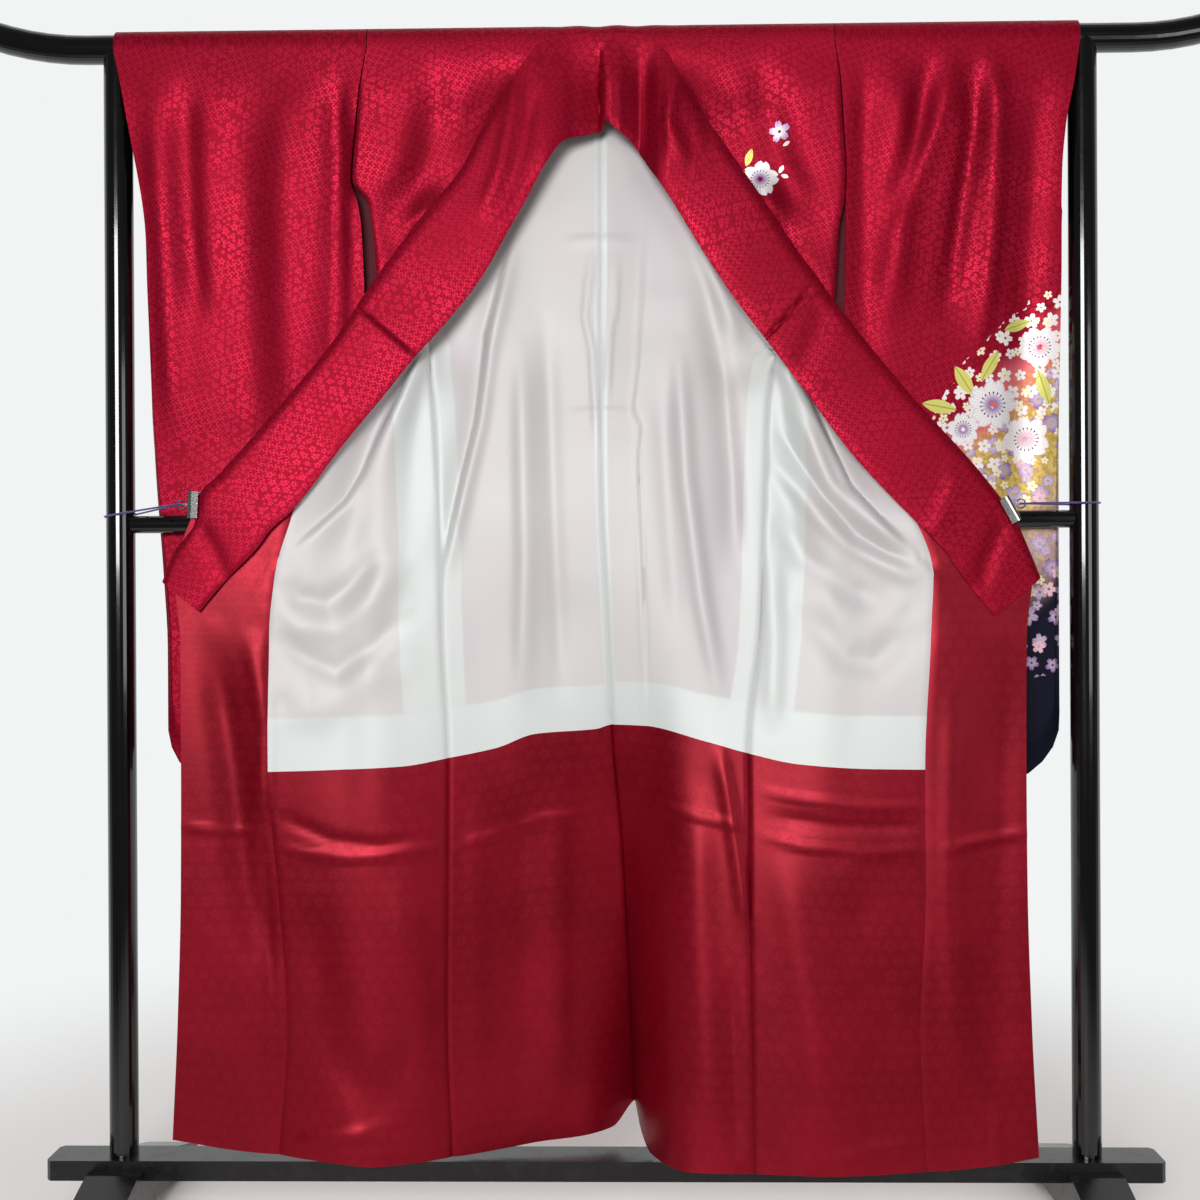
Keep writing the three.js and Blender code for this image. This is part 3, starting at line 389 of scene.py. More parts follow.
def chestSilk(start):
    ground, figure = silkGround(start)
    x, _, z = placeOf(start).parts()
    colour = ground
    for leaf in chestDesign["leaves"]:
        colour, _ = paintLeaf(colour, x, z, *leaf)
    first, second = chestDesign["blooms"]
    colour, _ = paintBloom(start, colour, x, z, *first, dyes["white"], dyes["lilacDeep"])
    edge, far, local = bloom(x, z, *second, broad=0.31)
    small = far.ramp(0.1, 0.9).mix(dyes["white"], dyes["lilac"])
    colour = (edge < 1.0).mix(colour, small)
    for place, size, lean in chestDesign["petals"]:
        inside, _ = leafAt(x, z, place, size, size * 0.5, lean)
        colour = inside.mix(colour, dyes["white"])
    colour = (attribute(start, "front") > 0.0005).mix(ground, colour)
    return finishSilk(start, colour, figure)


def hemSilk(start):
    # The outside of the upper front edge: gold clouds with blossoms that turn to navy at the hem.
    ground, figure = silkGround(start)
    x, _, z = placeOf(start).parts()
    reach = (0.80 - z) * 0.55 + (x - 0.50) * 0.5
    colour = dyedGround(start, ground, reach)
    near = reach > 0.02
    for size, seed, share, paints, heart in (
        (0.046, 1.0, 0.8, (dyes["lilac"], dyes["white"]), dyes["plum"]),
        (0.030, 2.0, 0.8, (dyes["cream"], dyes["pink"]), dyes["leafDark"]),
    ):
        colour, _ = paintBlossoms(start, colour, x, z, size, seed, share, paints, heart, near)
    return finishSilk(start, colour, figure)


lining = {"middle": rgb(206, 199, 201), "grey": rgb(210, 207, 206), "band": rgb(214, 218, 216),
          "bandTop": 0.722, "sideBack": 0.030, "sideFront": 0.060, "centre": 0.009}


def whiteLining(start):
    # Thin white silk: the red behind it shows through, but not where the seam allowances lie double.
    level, side = attribute(start, "level"), attribute(start, "fromSide")
    centre, front = attribute(start, "fromSeam"), attribute(start, "front")
    soft = placeOf(start).noise(0.05, 2.0) * 0.006 - 0.003
    sideBand = front * (lining["sideFront"] - lining["sideBack"]) * 1000.0 + lining["sideBack"]
    band = 1.0 - (level + soft - lining["bandTop"]).ramp(-0.003, 0.003)
    band = band.most((sideBand - side - soft).ramp(-0.002, 0.002) * 0.8)
    band = band.most((lining["centre"] - centre - front * 1000.0).ramp(-0.002, 0.002) * 0.9)
    pinkish = placeOf(start).noise(0.22, 1.0).ramp(0.3, 0.7)
    middle = pinkish.mix(lining["middle"], lining["grey"])
    colour = band.mix(middle, lining["band"])
    cross = (side * 5200.0).sin() * (level * 5200.0).sin()
    height = cross * 0.2 + placeOf(start).noise(0.02, 3.0) * 0.5
    return {"Base Color": colour, "Roughness": 0.55 - band * 0.03, "Metallic": 0.2,
            "Specular IOR Level": 0.15,
            "Normal": bump(height, 0.12, 0.001)}


satin = {"base": rgb(138, 8, 31), "low": rgb(122, 4, 24), "figure": rgb(158, 18, 42)}


def hemLining(start):
    u, v, _ = uvOf(start)
    edge, far, _, there, _ = blossomField(start, u, v, 0.020, 9.0, 0.9, (0.36, 0.48))
    figure = (edge < 1.0) * (far > 0.25) * there
    cloud = placeOf(start).noise(0.16, 3.0).ramp(0.35, 0.7)
    grain = placeOf(start).noise(0.0022, 1.0) * 0.3 - 0.15
    colour = (figure * 0.14 + grain).clip().mix(cloud.mix(satin["low"], satin["base"]), satin["figure"])
    rib = (v * (6.283 / 0.0016)).sin() * 0.5
    creased = placeOf(start).noise(0.03, 3.0)
    height = rib * 0.15 + creased
    return {"Base Color": colour, "Roughness": figure * 0.04 + 0.36, "Metallic": 0.45,
            "Specular IOR Level": 0.2,
            "Normal": bump(height, 0.22, 0.0008)}


# Inside of the sleeves: the dark mauve is painted shade, as dark as the inside looks deep in the sleeve, not the
# lining's own colour; the fine weave is real.
def sleeveLining(start):
    weave = placeOf(start).noise(0.003, 2.0)
    return {"Base Color": weave.mix(rgb(84, 30, 38), rgb(100, 38, 46)), "Roughness": 0.75,
            "Specular IOR Level": 0.2, "Normal": bump(weave, 0.2, 0.0005)}


def lacquer(start):
    place = placeOf(start)
    wearAndSheen = place.noise(0.012, 4.0, 0.6)
    dust = place.noise(0.25, 3.0).ramp(0.45, 0.8)
    return {"Base Color": (dust * 0.5).mix(rgb(5, 5, 6), rgb(14, 14, 15)),
            "Roughness": wearAndSheen * 0.06 + dust * 0.06 + 0.09,
            "Coat Weight": 0.4, "Coat Roughness": 0.05,
            "Normal": bump(place.noise(0.02, 2.0), 0.04, 0.0008)}


def boardLacquer(start):
    place = placeOf(start)
    grain = place.node("ShaderNodeMapping", {}, {0: place, 3: (0.06, 1.0, 1.0)}).noise(0.006, 3.0)
    wearAndSheen = place.noise(0.03, 4.0, 0.6).ramp(0.45, 0.75)
    return {"Base Color": wearAndSheen.mix(rgb(14, 14, 15), rgb(28, 28, 29)),
            "Roughness": wearAndSheen * 0.12 + 0.26, "Specular IOR Level": 0.35,
            "Coat Weight": 0.15, "Coat Roughness": 0.2,
            "Normal": bump(grain, 0.06, 0.0006)}


def chrome(start):
    place = placeOf(start)
    spots = place.noise(0.002, 3.0).ramp(0.55, 0.75)
    return {"Base Color": spots.mix(rgb(214, 214, 212), rgb(176, 168, 150)),
            "Metallic": 1.0, "Roughness": spots * 0.15 + 0.12,
            "Normal": bump(place.noise(0.004, 2.0), 0.05, 0.0004)}


def braidedElastic(start):
    place = placeOf(start)
    x, y, z = place.parts()
    braid = ((x + z) * 3900.0).sin() * ((x - y) * 3900.0).sin()
    return {"Base Color": braid.ramp(-0.4, 0.6).mix(rgb(40, 18, 92), rgb(92, 52, 168)),
            "Roughness": 0.6, "Sheen Weight": 0.4, "Normal": bump(braid, 0.5, 0.0004)}


def floorPaper(start):
    place = placeOf(start)
    x, y, _ = place.parts()
    reach = (x * x + y * y).sqrt()
    far = reach.ramp(0.55, 1.9)
    grain = place.noise(0.5, 3.0) * 0.03
    # Far from the stand the paper glows as the wall does, so that no edge shows between them.
    level = y.ramp(-1.0, 0.7) * (studio["wall"] - studio["room"]) + studio["room"]
    glow = start.node("ShaderNodeEmission", {}, {"Color": studio["sky"], "Strength": level})
    nodes = start.tree.nodes
    paper = Wire(start.tree, nodes["Principled BSDF"].outputs[0])
    both = start.node("ShaderNodeMixShader", {}, {0: far, 1: paper, 2: glow})
    setSockets(nodes["Material Output"], {0: both})
    return {"Base Color": grain.mix(rgb(250, 246, 243), rgb(240, 238, 236)), "Roughness": 0.65,
            "Specular IOR Level": 0.2}


def makeFloor():
    rings = np.array([0.0, 1.0, 2.2, 3.5, 5.0, studio["floorRadius"]])
    turns = np.linspace(0, 2 * np.pi, 64, endpoint=False)
    points = np.stack([np.outer(rings, np.cos(turns)), np.outer(rings, np.sin(turns)),
                       np.zeros((len(rings), len(turns)))], axis=-1).reshape(-1, 3)
    index = np.arange(len(rings) * 64).reshape(len(rings), 64)
    a, b = index[:-1], index[1:]
    quads = np.stack([a, b, np.roll(b, -1, 1), np.roll(a, -1, 1)], axis=-1).reshape(-1, 4)
    data = bpy.data.meshes.new("floor")
    data.from_pydata(points.tolist(), [], quads.tolist())
    floor = bpy.data.objects.new("floor", data)
    paper = newMaterial(floorPaper)
    paper.cycles.emission_sampling = "NONE"  # its glow is a backdrop, not a lamp
    data.materials.append(paper)
    bpy.context.collection.objects.link(floor)


makeCamera()
makeStudio()
makeFloor()
print("stage made")


hemLevel, liningSeam, okumiTop, topLevel = 102, 650, 1440, 1655
sleeveBottom = 615
stand = {"railHeight": 1663.0, "clothOverRail": 23.8}
cloth = {"outer": 1.2, "liningFrom": 1.5, "liningTo": 2.5, "step": 14.0 if rough else 6.5,
         "panelCells": 24 if rough else 64, "okumiCells": 8 if rough else 22}

# Levels of the panels' sections, from the hem up.
levels = (hemLevel, 290, 480, liningSeam, 830, 915, 1000, 1080, 1160, 1214, 1240, 1262, 1300, 1335, 1400,
          okumiTop, 1470, 1540, 1600, topLevel)
# Sections of the fronts: x and y of the side edge, the panel, the fold's back and front,
# the lap and the seam.
frontRows = {"left": [
    (-225, -20, -265, -40, -310, -55, -355, -60, -410, -52, -463, -38),
    (-231, -20, -275, -38, -320, -50, -365, -51, -412, -45, -450, -42),
    (-229, -20, -275, -36, -325, -46, -370, -48, -420, -46, -461, -45),
    (-228, -20, -275, -32, -325, -42, -375, -42, -425, -46, -473, -48),
    (-236, -20, -285, -28, -335, -39, -380, -36, -425, -44, -471, -48),
    (-237, -20, -282, -26, -325, -37, -370, -34, -420, -43, -463, -47),
    (-238, -20, -278, -22, -320, -32, -360, -28, -400, -38, -439, -45),
    (-242, -16, -275, -17, -310, -27, -345, -21, -380, -34, -412, -42),
    (-247, -11, -266, -12, -288, -22, -312, -17, -340, -30, -370, -39),
    (-252, -7, -256, -11, -266, -16, -280, -19, -308, -28, -342, -37),
    (-254, -5, -255, -8, -257, -12, -263, -17, -292, -28, -329, -36),
    (-271, -4.5, -259, -6.5, -248, -9, -248, -18, -282, -28, -319, -35),
    (-302, -4.5, -256, -9, -213, -11, -213, -24, -260, -30, -303, -34),
    (-326, -5, -255, -10, -190, -13, -190, -26, -248, -30, -285, -33),
    (-331, -11, -250, -15, -177, -16, -177, -27, -220, -30, -258, -32),
    (-337, -15, -255, -17, -175, -18, -175, -27, -204, -30, -232, -31),
    (-358, -18, -270, -19, -172, -19, -172, -28, -190, -29.5, -209, -30),
    (-352, -22, -270, -22, -180, -22, -158, -26, -164, -28, -171, -29),
    (-345, -24, -300, -24.5, -245, -25, -190, -25.5, -155, -26, -132, -26.5),
    (-335, -23.8, -290, -23.8, -235, -23.8, -180, -23.8, -130, -23.8, -90, -23.8),
], "right": [
    (193, -80, 240, -84, 285, -88, 330, -88, 378, -84, 425, -80),
    (192, -68, 238, -74, 285, -80, 332, -82, 378, -78, 418, -76),
    (191, -55, 240, -62, 288, -68, 336, -70, 384, -68, 428, -68),
    (191, -40, 240, -48, 290, -56, 338, -58, 384, -60, 429, -62),
    (209, -28, 258, -36, 305, -46, 350, -46, 395, -52, 439, -58),
    (213, -24, 260, -30, 305, -42, 352, -40, 400, -48, 443, -54),
    (217, -21, 256, -24, 298, -36, 338, -32, 378, -42, 416, -48),
    (220, -16, 252, -18, 285, -29, 318, -22, 350, -36, 379, -44),
    (224, -11, 242, -12, 264, -23, 288, -17, 312, -31, 338, -41),
    (234, -5, 235, -8, 238, -12, 244, -17, 276, -28, 308, -38),
    (262, -4.5, 240, -7, 221, -9, 221, -19, 260, -29, 292, -37),
    (283, -4.5, 242, -8, 206, -10, 206, -22, 250, -30, 282, -36),
    (317, -4.5, 242, -9, 182, -12, 182, -24, 232, -31, 266, -35),
    (320, -5, 235, -10, 164, -13, 164, -26, 216, -31, 250, -34),
    (324, -11, 230, -15, 152, -16, 152, -27, 192, -31, 227, -33),
    (331, -15, 235, -17, 150, -18, 150, -28, 178, -31, 206, -32),
    (332, -18, 240, -19, 148, -19, 148, -29, 168, -30.5, 189, -31),
    (328, -22, 245, -22, 152, -22, 129, -26, 135, -28, 142, -29),
    (324, -24, 270, -24.5, 215, -25, 165, -25.5, 128, -26, 105, -26.5),
    (316, -23.8, 265, -23.8, 210, -23.8, 155, -23.8, 110, -23.8, 70, -23.8),
]}
# Sections of the backs: x and y of the side edge, the flank, the middle, the crease and
# the centre seam.
backRows = {"left": [
    (-225, -20, -157, 0, -104, 15, -32, 34, 33, 85), (-231, -20, -168, 0, -110, 12, -42, 32, 27, 62),
    (-229, -20, -170, -4, -112, 6, -48, 22, 17, 36), (-228, -20, -172, -10, -118, -5, -60, 2, 2, 8),
    (-236, -20, -180, -13, -124, -14, -64, -8, -4, -10), (-237, -20, -183, -16, -126, -18, -66, -15, -7, -16),
    (-238, -20, -185, -18, -128, -19, -68, -17, -10, -18),
    (-242, -15, -190, -13, -132, -15, -70, -12, -11, -15), (-247, -10, -195, -6, -140, -9, -75, -5, -11, -10),
    (-252, -3, -204, 2, -148, -5, -80, -1, -11, -6), (-254, 0, -210, 4, -152, -4, -83, 1, -11, -4),
    (-271, 1, -222, 5, -158, -3, -85, 2, -11, -3), (-302, 2, -245, 6, -170, -1, -90, 4, -11, 0),
    (-326, 3, -255, 8, -175, 2, -92, 6, -10, 2), (-331, 8, -260, 11, -180, 7, -95, 9, -10, 5),
    (-337, 11, -268, 13, -183, 10, -95, 11, -10, 7), (-358, 14, -275, 14, -185, 12, -95, 13, -10, 9),
    (-352, 18, -272, 18, -185, 16, -95, 17, -10, 14), (-345, 21, -270, 21, -185, 20, -95, 20, -11, 19),
    (-335, 23.8, -265, 23.8, -185, 23.8, -95, 23.8, -12, 23.8),
], "right": [
    (193, -80, 140, -80, 93, -70, 52, -2, 33, 85), (192, -68, 136, -64, 92, -52, 46, 8, 27, 62),
    (191, -55, 136, -48, 93, -38, 48, 2, 17, 36), (191, -40, 135, -34, 92, -25, 47, -6, 2, 8),
    (209, -28, 156, -26, 102, -26, 43, -17, -4, -10), (213, -24, 160, -22, 104, -24, 42, -19, -7, -16),
    (217, -21, 162, -19, 104, -22, 41, -19, -10, -18), (220, -15, 165, -14, 106, -17, 40, -14, -11, -15),
    (224, -10, 171, -8, 111, -11, 42, -8, -11, -10), (234, -1, 185, 3, 120, -6, 44, -3, -11, -6),
    (262, 1, 202, 5, 130, -4, 45, 0, -11, -4), (283, 1.5, 216, 5, 137, -2, 46, 2, -11, -3),
    (317, 2, 232, 6, 146, 0, 48, 4, -11, 0), (320, 3, 236, 8, 150, 3, 52, 7, -10, 2),
    (324, 8, 242, 11, 155, 7, 58, 10, -10, 5), (331, 11, 246, 13, 158, 9, 62, 12, -10, 7),
    (332, 14, 250, 14, 160, 11, 66, 14, -10, 9), (328, 18, 250, 18, 163, 15, 71, 18, -10, 14),
    (324, 21, 250, 21, 165, 19, 75, 21, -11, 19), (316, 23.8, 245, 23.8, 165, 23.8, 75, 23.8, -12, 23.8),
]}
# Free edge of the okumi: x and y, up to its top.
okumiEdge = {"left": [
    (-605, -60), (-597, -60), (-592, -59), (-591, -58), (-592, -55), (-600, -52), (-575, -51.2), (-518, -48),
    (-448, -42), (-402, -39), (-382, -38), (-366, -37), (-340, -35), (-316, -34), (-267, -33), (-236, -32),
], "right": [
    (575, -82), (568, -77), (565, -70), (566, -64), (568, -60), (578, -52.5), (544, -51.2), (484, -48),
    (416, -43), (371, -40), (350, -39), (334, -38), (306, -36), (280, -35), (235, -34), (210, -33),
]}
# Sleeves: height, x of the inner and outer edge, then the depth of the front and back faces, inner
# and outer.
sleeveRows = {"left": [
    (sleeveBottom, -346, -634, 18, 18, 27, 27), (710, -345, -634, 15, 16, 30, 31),
    (815, -345, -634, 16, 16, 31, 32), (915, -345, -639, 16.5, 16.5, 30, 32),
    (1080, -345, -650, 15.5, 15.5, 28, 31), (1165, -344, -653, 8, 8, 24, 30),
    (1320, -344, -653, -6, -5, 17, 28), (1400, -346, -652, -12, -11, 14, 27),
    (1440, -351, -655, -15, -14, 13, 26.5), (1470, -361.5, -659, -18, -17, 14, 26),
    (1540, -353.5, -671, -22, -21, 18, 25), (1600, -346.5, -681, -24, -24, 21, 24.5),
    (topLevel, -336.2, -692, -23.8, -23.8, 23.8, 23.8),
], "right": [
    (sleeveBottom, 332, 626, 18, 18, 27, 27), (710, 332, 636, 15, 16, 30, 31),
    (815, 332, 636, 16, 16, 31, 32), (915, 332, 636, 16.5, 16.5, 30, 32),
    (1080, 332, 636, 15.5, 15.5, 28, 31), (1165, 332, 636, 8, 8, 24, 30), (1320, 332, 635, -6, -5, 17, 28),
    (1400, 332, 633, -12, -11, 14, 27), (1440, 332.5, 632, -15, -14, 13, 26.5),
    (1470, 333.5, 632, -18, -17, 14, 26), (1540, 329.5, 637, -22, -21, 18, 25),
    (1600, 325.5, 648, -24, -24, 21, 24.5), (topLevel, 317, 656, -23.8, -23.8, 23.8, 23.8),
]}
# Collar: x, y and z of the seam edge and of the free edge at each station from left to right.
collarStations = [
    (-617, -59, 908, -564, -63, 866), (-603, -58, 945, -527, -62, 910), (-576, -57, 986, -487, -61, 950),
    (-564, -56.5, 1030, -464, -60.5, 980), (-540, -55, 1055, -439, -59, 1002),
    (-449, -50, 1158, -364, -54, 1098), (-386, -46, 1234, -303, -50, 1172),
    (-348, -44, 1289, -266, -48, 1218), (-316, -42, 1335, -233, -46, 1254),
    (-253, -40, 1418, -178, -44, 1322), (-203, -38, 1478, -137, -42, 1392),
    (-178, -37, 1525, -110, -41, 1440), (-146, -34, 1583, -82, -40, 1490), (-92, -30, 1643, -61, -39, 1518),
    (-50, -28, 1653, -36, -40, 1530), (-10, -28, 1653, -7, -42, 1537), (30, -28, 1653, 18, -40, 1528),
    (72, -30, 1643, 40, -39, 1510), (103, -34, 1602, 64, -40, 1471), (137, -37, 1547, 89, -41, 1432),
    (172, -38, 1495, 120, -42, 1380), (220, -40, 1424, 153, -44, 1327), (265, -42, 1355, 188, -46, 1276),
    (298, -44, 1310, 218, -48, 1236), (354, -47, 1235, 268, -51, 1168), (422, -51, 1151, 335, -55, 1076),
    (512, -55, 1048, 417, -59, 987), (556, -57, 986, 455, -61, 948), (574, -58, 945, 488, -62, 902),
    (589, -59, 907, 524, -63, 854),
]
# Height of the hem: x, z.
hemLine = [
    (-605, 140), (-511, 119), (-461, 112), (-385, 107), (-320, 102), (-225, 102), (-157, 106), (-104, 111),
    (-32, 115), (-2, 118), (33, 148), (43, 121), (56, 104), (93, 103), (254, 102), (425, 106), (511, 114),
    (575, 126),
]
# Height of the seam between the linings: x, z.
liningSeamLine = [
    (-605, 645), (-473, 645), (-291, 650), (-227, 660), (-160, 673), (-106, 692), (-20, 698), (2, 704),
    (50, 703), (133, 683), (191, 667), (260, 653), (363, 647), (575, 646),
]

# How much of the hem's and of the lining seam's curve each level takes up: level, hem, seam.
curveShare = np.array([(hemLevel, 1, 0), (290, 0.4, 0.2), (480, 0.1, 0.6), (liningSeam, 0, 1),
                       (830, 0, 0.5), (1000, 0, 0)], float)


def atLevels(rows):
    return np.column_stack([levels[:len(rows)], rows]).astype(float)


def smoothTable(table, at):
    # Cubic through the rows of a table that never swings past a row: the slope at a row is the
    # harmonic mean of the slopes on both sides, or 0 where they turn.
    rows = np.array(table, float)
    key, value = rows[:, 0], rows[:, 1:]
    gap = np.diff(key)[:, None]
    slope = np.diff(value, axis=0) / gap
    inner = slope[:-1] * slope[1:]
    total = slope[:-1] + slope[1:]
    tangent = np.zeros_like(value)
    tangent[1:-1] = np.where(inner > 0, 2 * inner / np.where(total == 0, 1, total), 0)
    tangent[0], tangent[-1] = slope[0], slope[-1]
    at = np.clip(np.asarray(at, float), key[0], key[-1])
    i = np.clip(np.searchsorted(key, at, side="right") - 1, 0, len(key) - 2)
    h = gap[i]
    t = ((at - key[i])[:, None]) / h
    return ((2 * t**3 - 3 * t**2 + 1) * value[i] + (t**3 - 2 * t**2 + t) * h * tangent[i]
            + (3 * t**2 - 2 * t**3) * value[i + 1] + (t**3 - t**2) * h * tangent[i + 1])


def heightAt(level, x):
    # Real height on a level's section: the level plus its shares of the hem's and the seam's rise.
    share = np.stack([np.interp(level, curveShare[:, 0], curveShare[:, k]) for k in (1, 2)])
    hem = smoothTable(hemLine, x.ravel())[:, 0].reshape(x.shape) - hemLevel
    seam = smoothTable(liningSeamLine, x.ravel())[:, 0].reshape(x.shape) - liningSeam
    return level[:, None] + share[0][:, None] * hem + share[1][:, None] * seam


def roundedLine(places, cells):
    # Even steps along a smooth line through each row's places (centripetal Catmull-Rom).
    before = 2 * places[:, :1] - places[:, 1:2]
    after = 2 * places[:, -1:] - places[:, -2:-1]
    p = np.concatenate([before, places, after], axis=1)
    knot = np.sqrt(np.maximum(np.linalg.norm(np.diff(p, axis=1), axis=2), 1e-6))
    knot = np.concatenate([np.zeros((len(p), 1)), np.cumsum(knot, axis=1)], axis=1)
    fine = 14
    share = np.linspace(0, 1, fine, endpoint=False)
    pieces = []
    for k in range(1, p.shape[1] - 2):
        t0, t1, t2, t3 = (knot[:, k + m, None, None] for m in (-1, 0, 1, 2))
        t = t1 + (t2 - t1) * share[None, :, None]
        p0, p1, p2, p3 = (p[:, k + m, None, :] for m in (-1, 0, 1, 2))
        a1 = (t1 - t) / (t1 - t0) * p0 + (t - t0) / (t1 - t0) * p1
        a2 = (t2 - t) / (t2 - t1) * p1 + (t - t1) / (t2 - t1) * p2
        a3 = (t3 - t) / (t3 - t2) * p2 + (t - t2) / (t3 - t2) * p3
        b1 = (t2 - t) / (t2 - t0) * a1 + (t - t0) / (t2 - t0) * a2
        b2 = (t3 - t) / (t3 - t1) * a2 + (t - t1) / (t3 - t1) * a3
        pieces.append((t2 - t) / (t2 - t1) * b1 + (t - t1) / (t2 - t1) * b2)
    pieces.append(p[:, -2:-1])
    line = np.concatenate(pieces, axis=1)
    along = lengths(line, 1)
    even = [[np.interp(np.linspace(0, a[-1], cells + 1), a, row[:, k]) for k in range(2)]
            for a, row in zip(along, line)]
    return np.swapaxes(np.array(even), 1, 2)


def levelSections(table, at, cells):
    # Points of a panel at the given levels: smooth along the levels and across each section.
    rows = smoothTable(atLevels(table), at)
    flat = roundedLine(rows.reshape(len(at), -1, 2), cells)
    z = heightAt(np.asarray(at, float), flat[:, :, 0])
    return np.dstack([flat, z])


def stepsBetween(low, high, *through):
    # Levels from low to high in even steps of about the cloth's step, with each named level exact.
    marks = sorted({low, high, *(m for m in through if low < m < high)})
    runs = [np.linspace(a, b, max(2, round((b - a) / cloth["step"])) + 1)[:-1] for a, b in zip(marks, marks[1:])]
    return np.concatenate([*runs, [high]])


def smoothStep(value, low, high):
    t = np.clip((value - low) / (high - low), 0, 1)
    return t * t * (3 - 2 * t)


# Folds: a path of (x, z) down the cloth, the reach to its left and to its right, how far it stands
# towards the open side, and the edge. Edge 0 is a soft wave; otherwise the cloth on the right of the
# path stands and on its left falls back, within that distance.
frontFolds = [
    (((-225, 1680), (-255, 1505), (-290, 1400)), 26, 26, -10, 0),
    (((196, 1680), (240, 1503), (278, 1400)), 26, 26, -10, 0),
    (((-258, 1242), (-290, 1169), (-319, 1112), (-342, 1059), (-367, 1018), (-404, 982), (-449, 945)),
     34, 26, 6.5, 3.0),
    (((-455, 915), (-430, 886), (-395, 878), (-358, 902), (-312, 958)), 15, 15, -6.0, 0),
    (((-470, 880), (-430, 845), (-380, 840), (-330, 880), (-285, 950)), 18, 18, 5.0, 0),
    (((-465, 843), (-424, 803), (-380, 782), (-331, 815), (-281, 871)), 16, 16, -6.0, 0),
    (((-455, 740), (-400, 730), (-300, 800)), 26, 26, 4.0, 0),
    (((264, 1186), (302, 1105), (322, 1063), (334, 1035), (372, 990), (412, 948)), 24, 36, -9.5, 3.0),
    (((241, 1162), (277, 1105), (306, 1039), (351, 990), (395, 957), (429, 929)), 9, 9, 5.1, 0),
    (((228, 1130), (262, 1080), (298, 1020), (340, 970), (385, 942), (430, 925)), 9, 9, -6.8, 0),
    (((216, 1093), (249, 1048), (290, 991), (330, 953), (372, 929), (408, 912), (448, 912)), 11, 11, 6.5, 0),
    (((230, 1010), (270, 940), (330, 890), (400, 870)), 20, 20, -6.8, 0),
    (((265, 878), (322, 799), (363, 792), (424, 850)), 22, 22, -6.5, 0),
    (((225, 960), (228, 820), (222, 690)), 14, 14, 5.1, 0),
    (((-466, 546), (-430, 533), (-360, 525), (-291, 531), (-224, 539)), 4, 4, 2.6, 0),
    (((-469, 588), (-388, 551), (-319, 541), (-263, 551)), 8, 8, -2.2, 0),
    (((-594, 573), (-548, 566), (-479, 560)), 4.5, 4.5, 1.6, 0),
    (((198, 556), (265, 542), (348, 533), (438, 537)), 4, 4, 2.8, 0),
    (((198, 618), (265, 605), (348, 596), (438, 595)), 4, 4, 2.2, 0),
    (((202, 585), (300, 570), (430, 568)), 9, 9, -2.4, 0),
    (((445, 537), (487, 547), (577, 563)), 4.5, 4.5, 2.0, 0),
    (((519, 215), (520, 150), (520, 95)), 4, 4, 2.6, 0),
    (((-552, 850), (-524, 660), (-506, 493), (-468, 327)), 24, 24, -8, 0),
    (((-497, 850), (-474, 700), (-480, 560)), 14, 14, 4, 0),
    (((-480, 600), (-472, 350), (-468, 110)), 9, 9, -2.5, 0),
    (((-420, 480), (-374, 243), (-322, 187), (-263, 300)), 30, 30, -4.0, 0),
    (((-450, 128), (-388, 141), (-320, 150)), 9, 9, 3.0, 0),
    (((-300, 520), (-270, 330), (-262, 120)), 24, 24, 4.0, 0),
    (((540, 850), (520, 480), (515, 120)), 30, 30, -5.0, 0),
    (((470, 800), (460, 480), (470, 200)), 18, 18, 4.0, 0),
    (((236, 560), (262, 350), (290, 180), (350, 160)), 26, 26, 4.0, 0),
    (((330, 520), (345, 330), (372, 190)), 30, 30, -4.5, 0),
    (((300, 128), (350, 136), (410, 140)), 9, 9, 2.6, 0),
]
backFolds = [
    (((-219, 536), (-152, 554), (-97, 570), (-27, 574)), 4, 4, 2.4, 0),
    (((49, 607), (70, 593), (126, 580), (192, 565)), 4, 4, 2.6, 0),
    (((-133, 1400), (-169, 1253), (-184, 1133), (-217, 993), (-236, 900)), 24, 14, 9.5, 4.0),
    (((-122, 1260), (-117, 939), (-124, 720)), 13, 16, 7.0, 0),
    (((-88, 1300), (-76, 936), (-69, 720)), 14, 14, -4.5, 0),
    (((97, 1260), (108, 1046), (128, 883), (156, 720)), 12, 12, 7.5, 0),
    (((128, 1370), (162, 1186), (172, 1046), (176, 900)), 20, 14, -8.5, 0),
    (((72, 1200), (82, 1000), (98, 800)), 14, 14, -3.5, 0),
    (((123, 1400), (151, 1326), (188, 1240)), 10, 10, 5.0, 0),
    (((-20, 1395), (-33, 1279), (-23, 1230), (-20, 1165), (-15, 1080)), 4.0, 4.0, 2.6, 0),
    (((56, 1435), (47, 1295), (42, 1207), (34, 1146), (45, 1121), (40, 1073), (45, 938), (53, 706)), 5, 4, -2.6, 3.0),
    (((12, 1366), (10, 1295), (2, 1255), (-2, 1150)), 3.5, 3.5, 2.7, 0),
    (((-66, 1384), (-27, 1387), (42, 1385)), 4.0, 4.0, 2.2, 0),
    (((-60, 1141), (-13, 1142), (37, 1143)), 4.0, 4.0, 2.2, 0),
    (((148, 690), (162, 615), (174, 532), (190, 406)), 12, 8, 4.5, 0),
    (((-130, 640), (-128, 400), (-130, 120)), 22, 22, -5.0, 0),
    (((-72, 640), (-78, 400), (-80, 120)), 18, 18, 5.0, 0),
    (((-185, 640), (-190, 350), (-186, 110)), 18, 18, 3.5, 0),
    (((120, 640), (124, 400), (132, 110)), 20, 20, 4.0, 0),
    (((160, 380), (166, 250), (170, 110)), 14, 14, -3.5, 0),
]
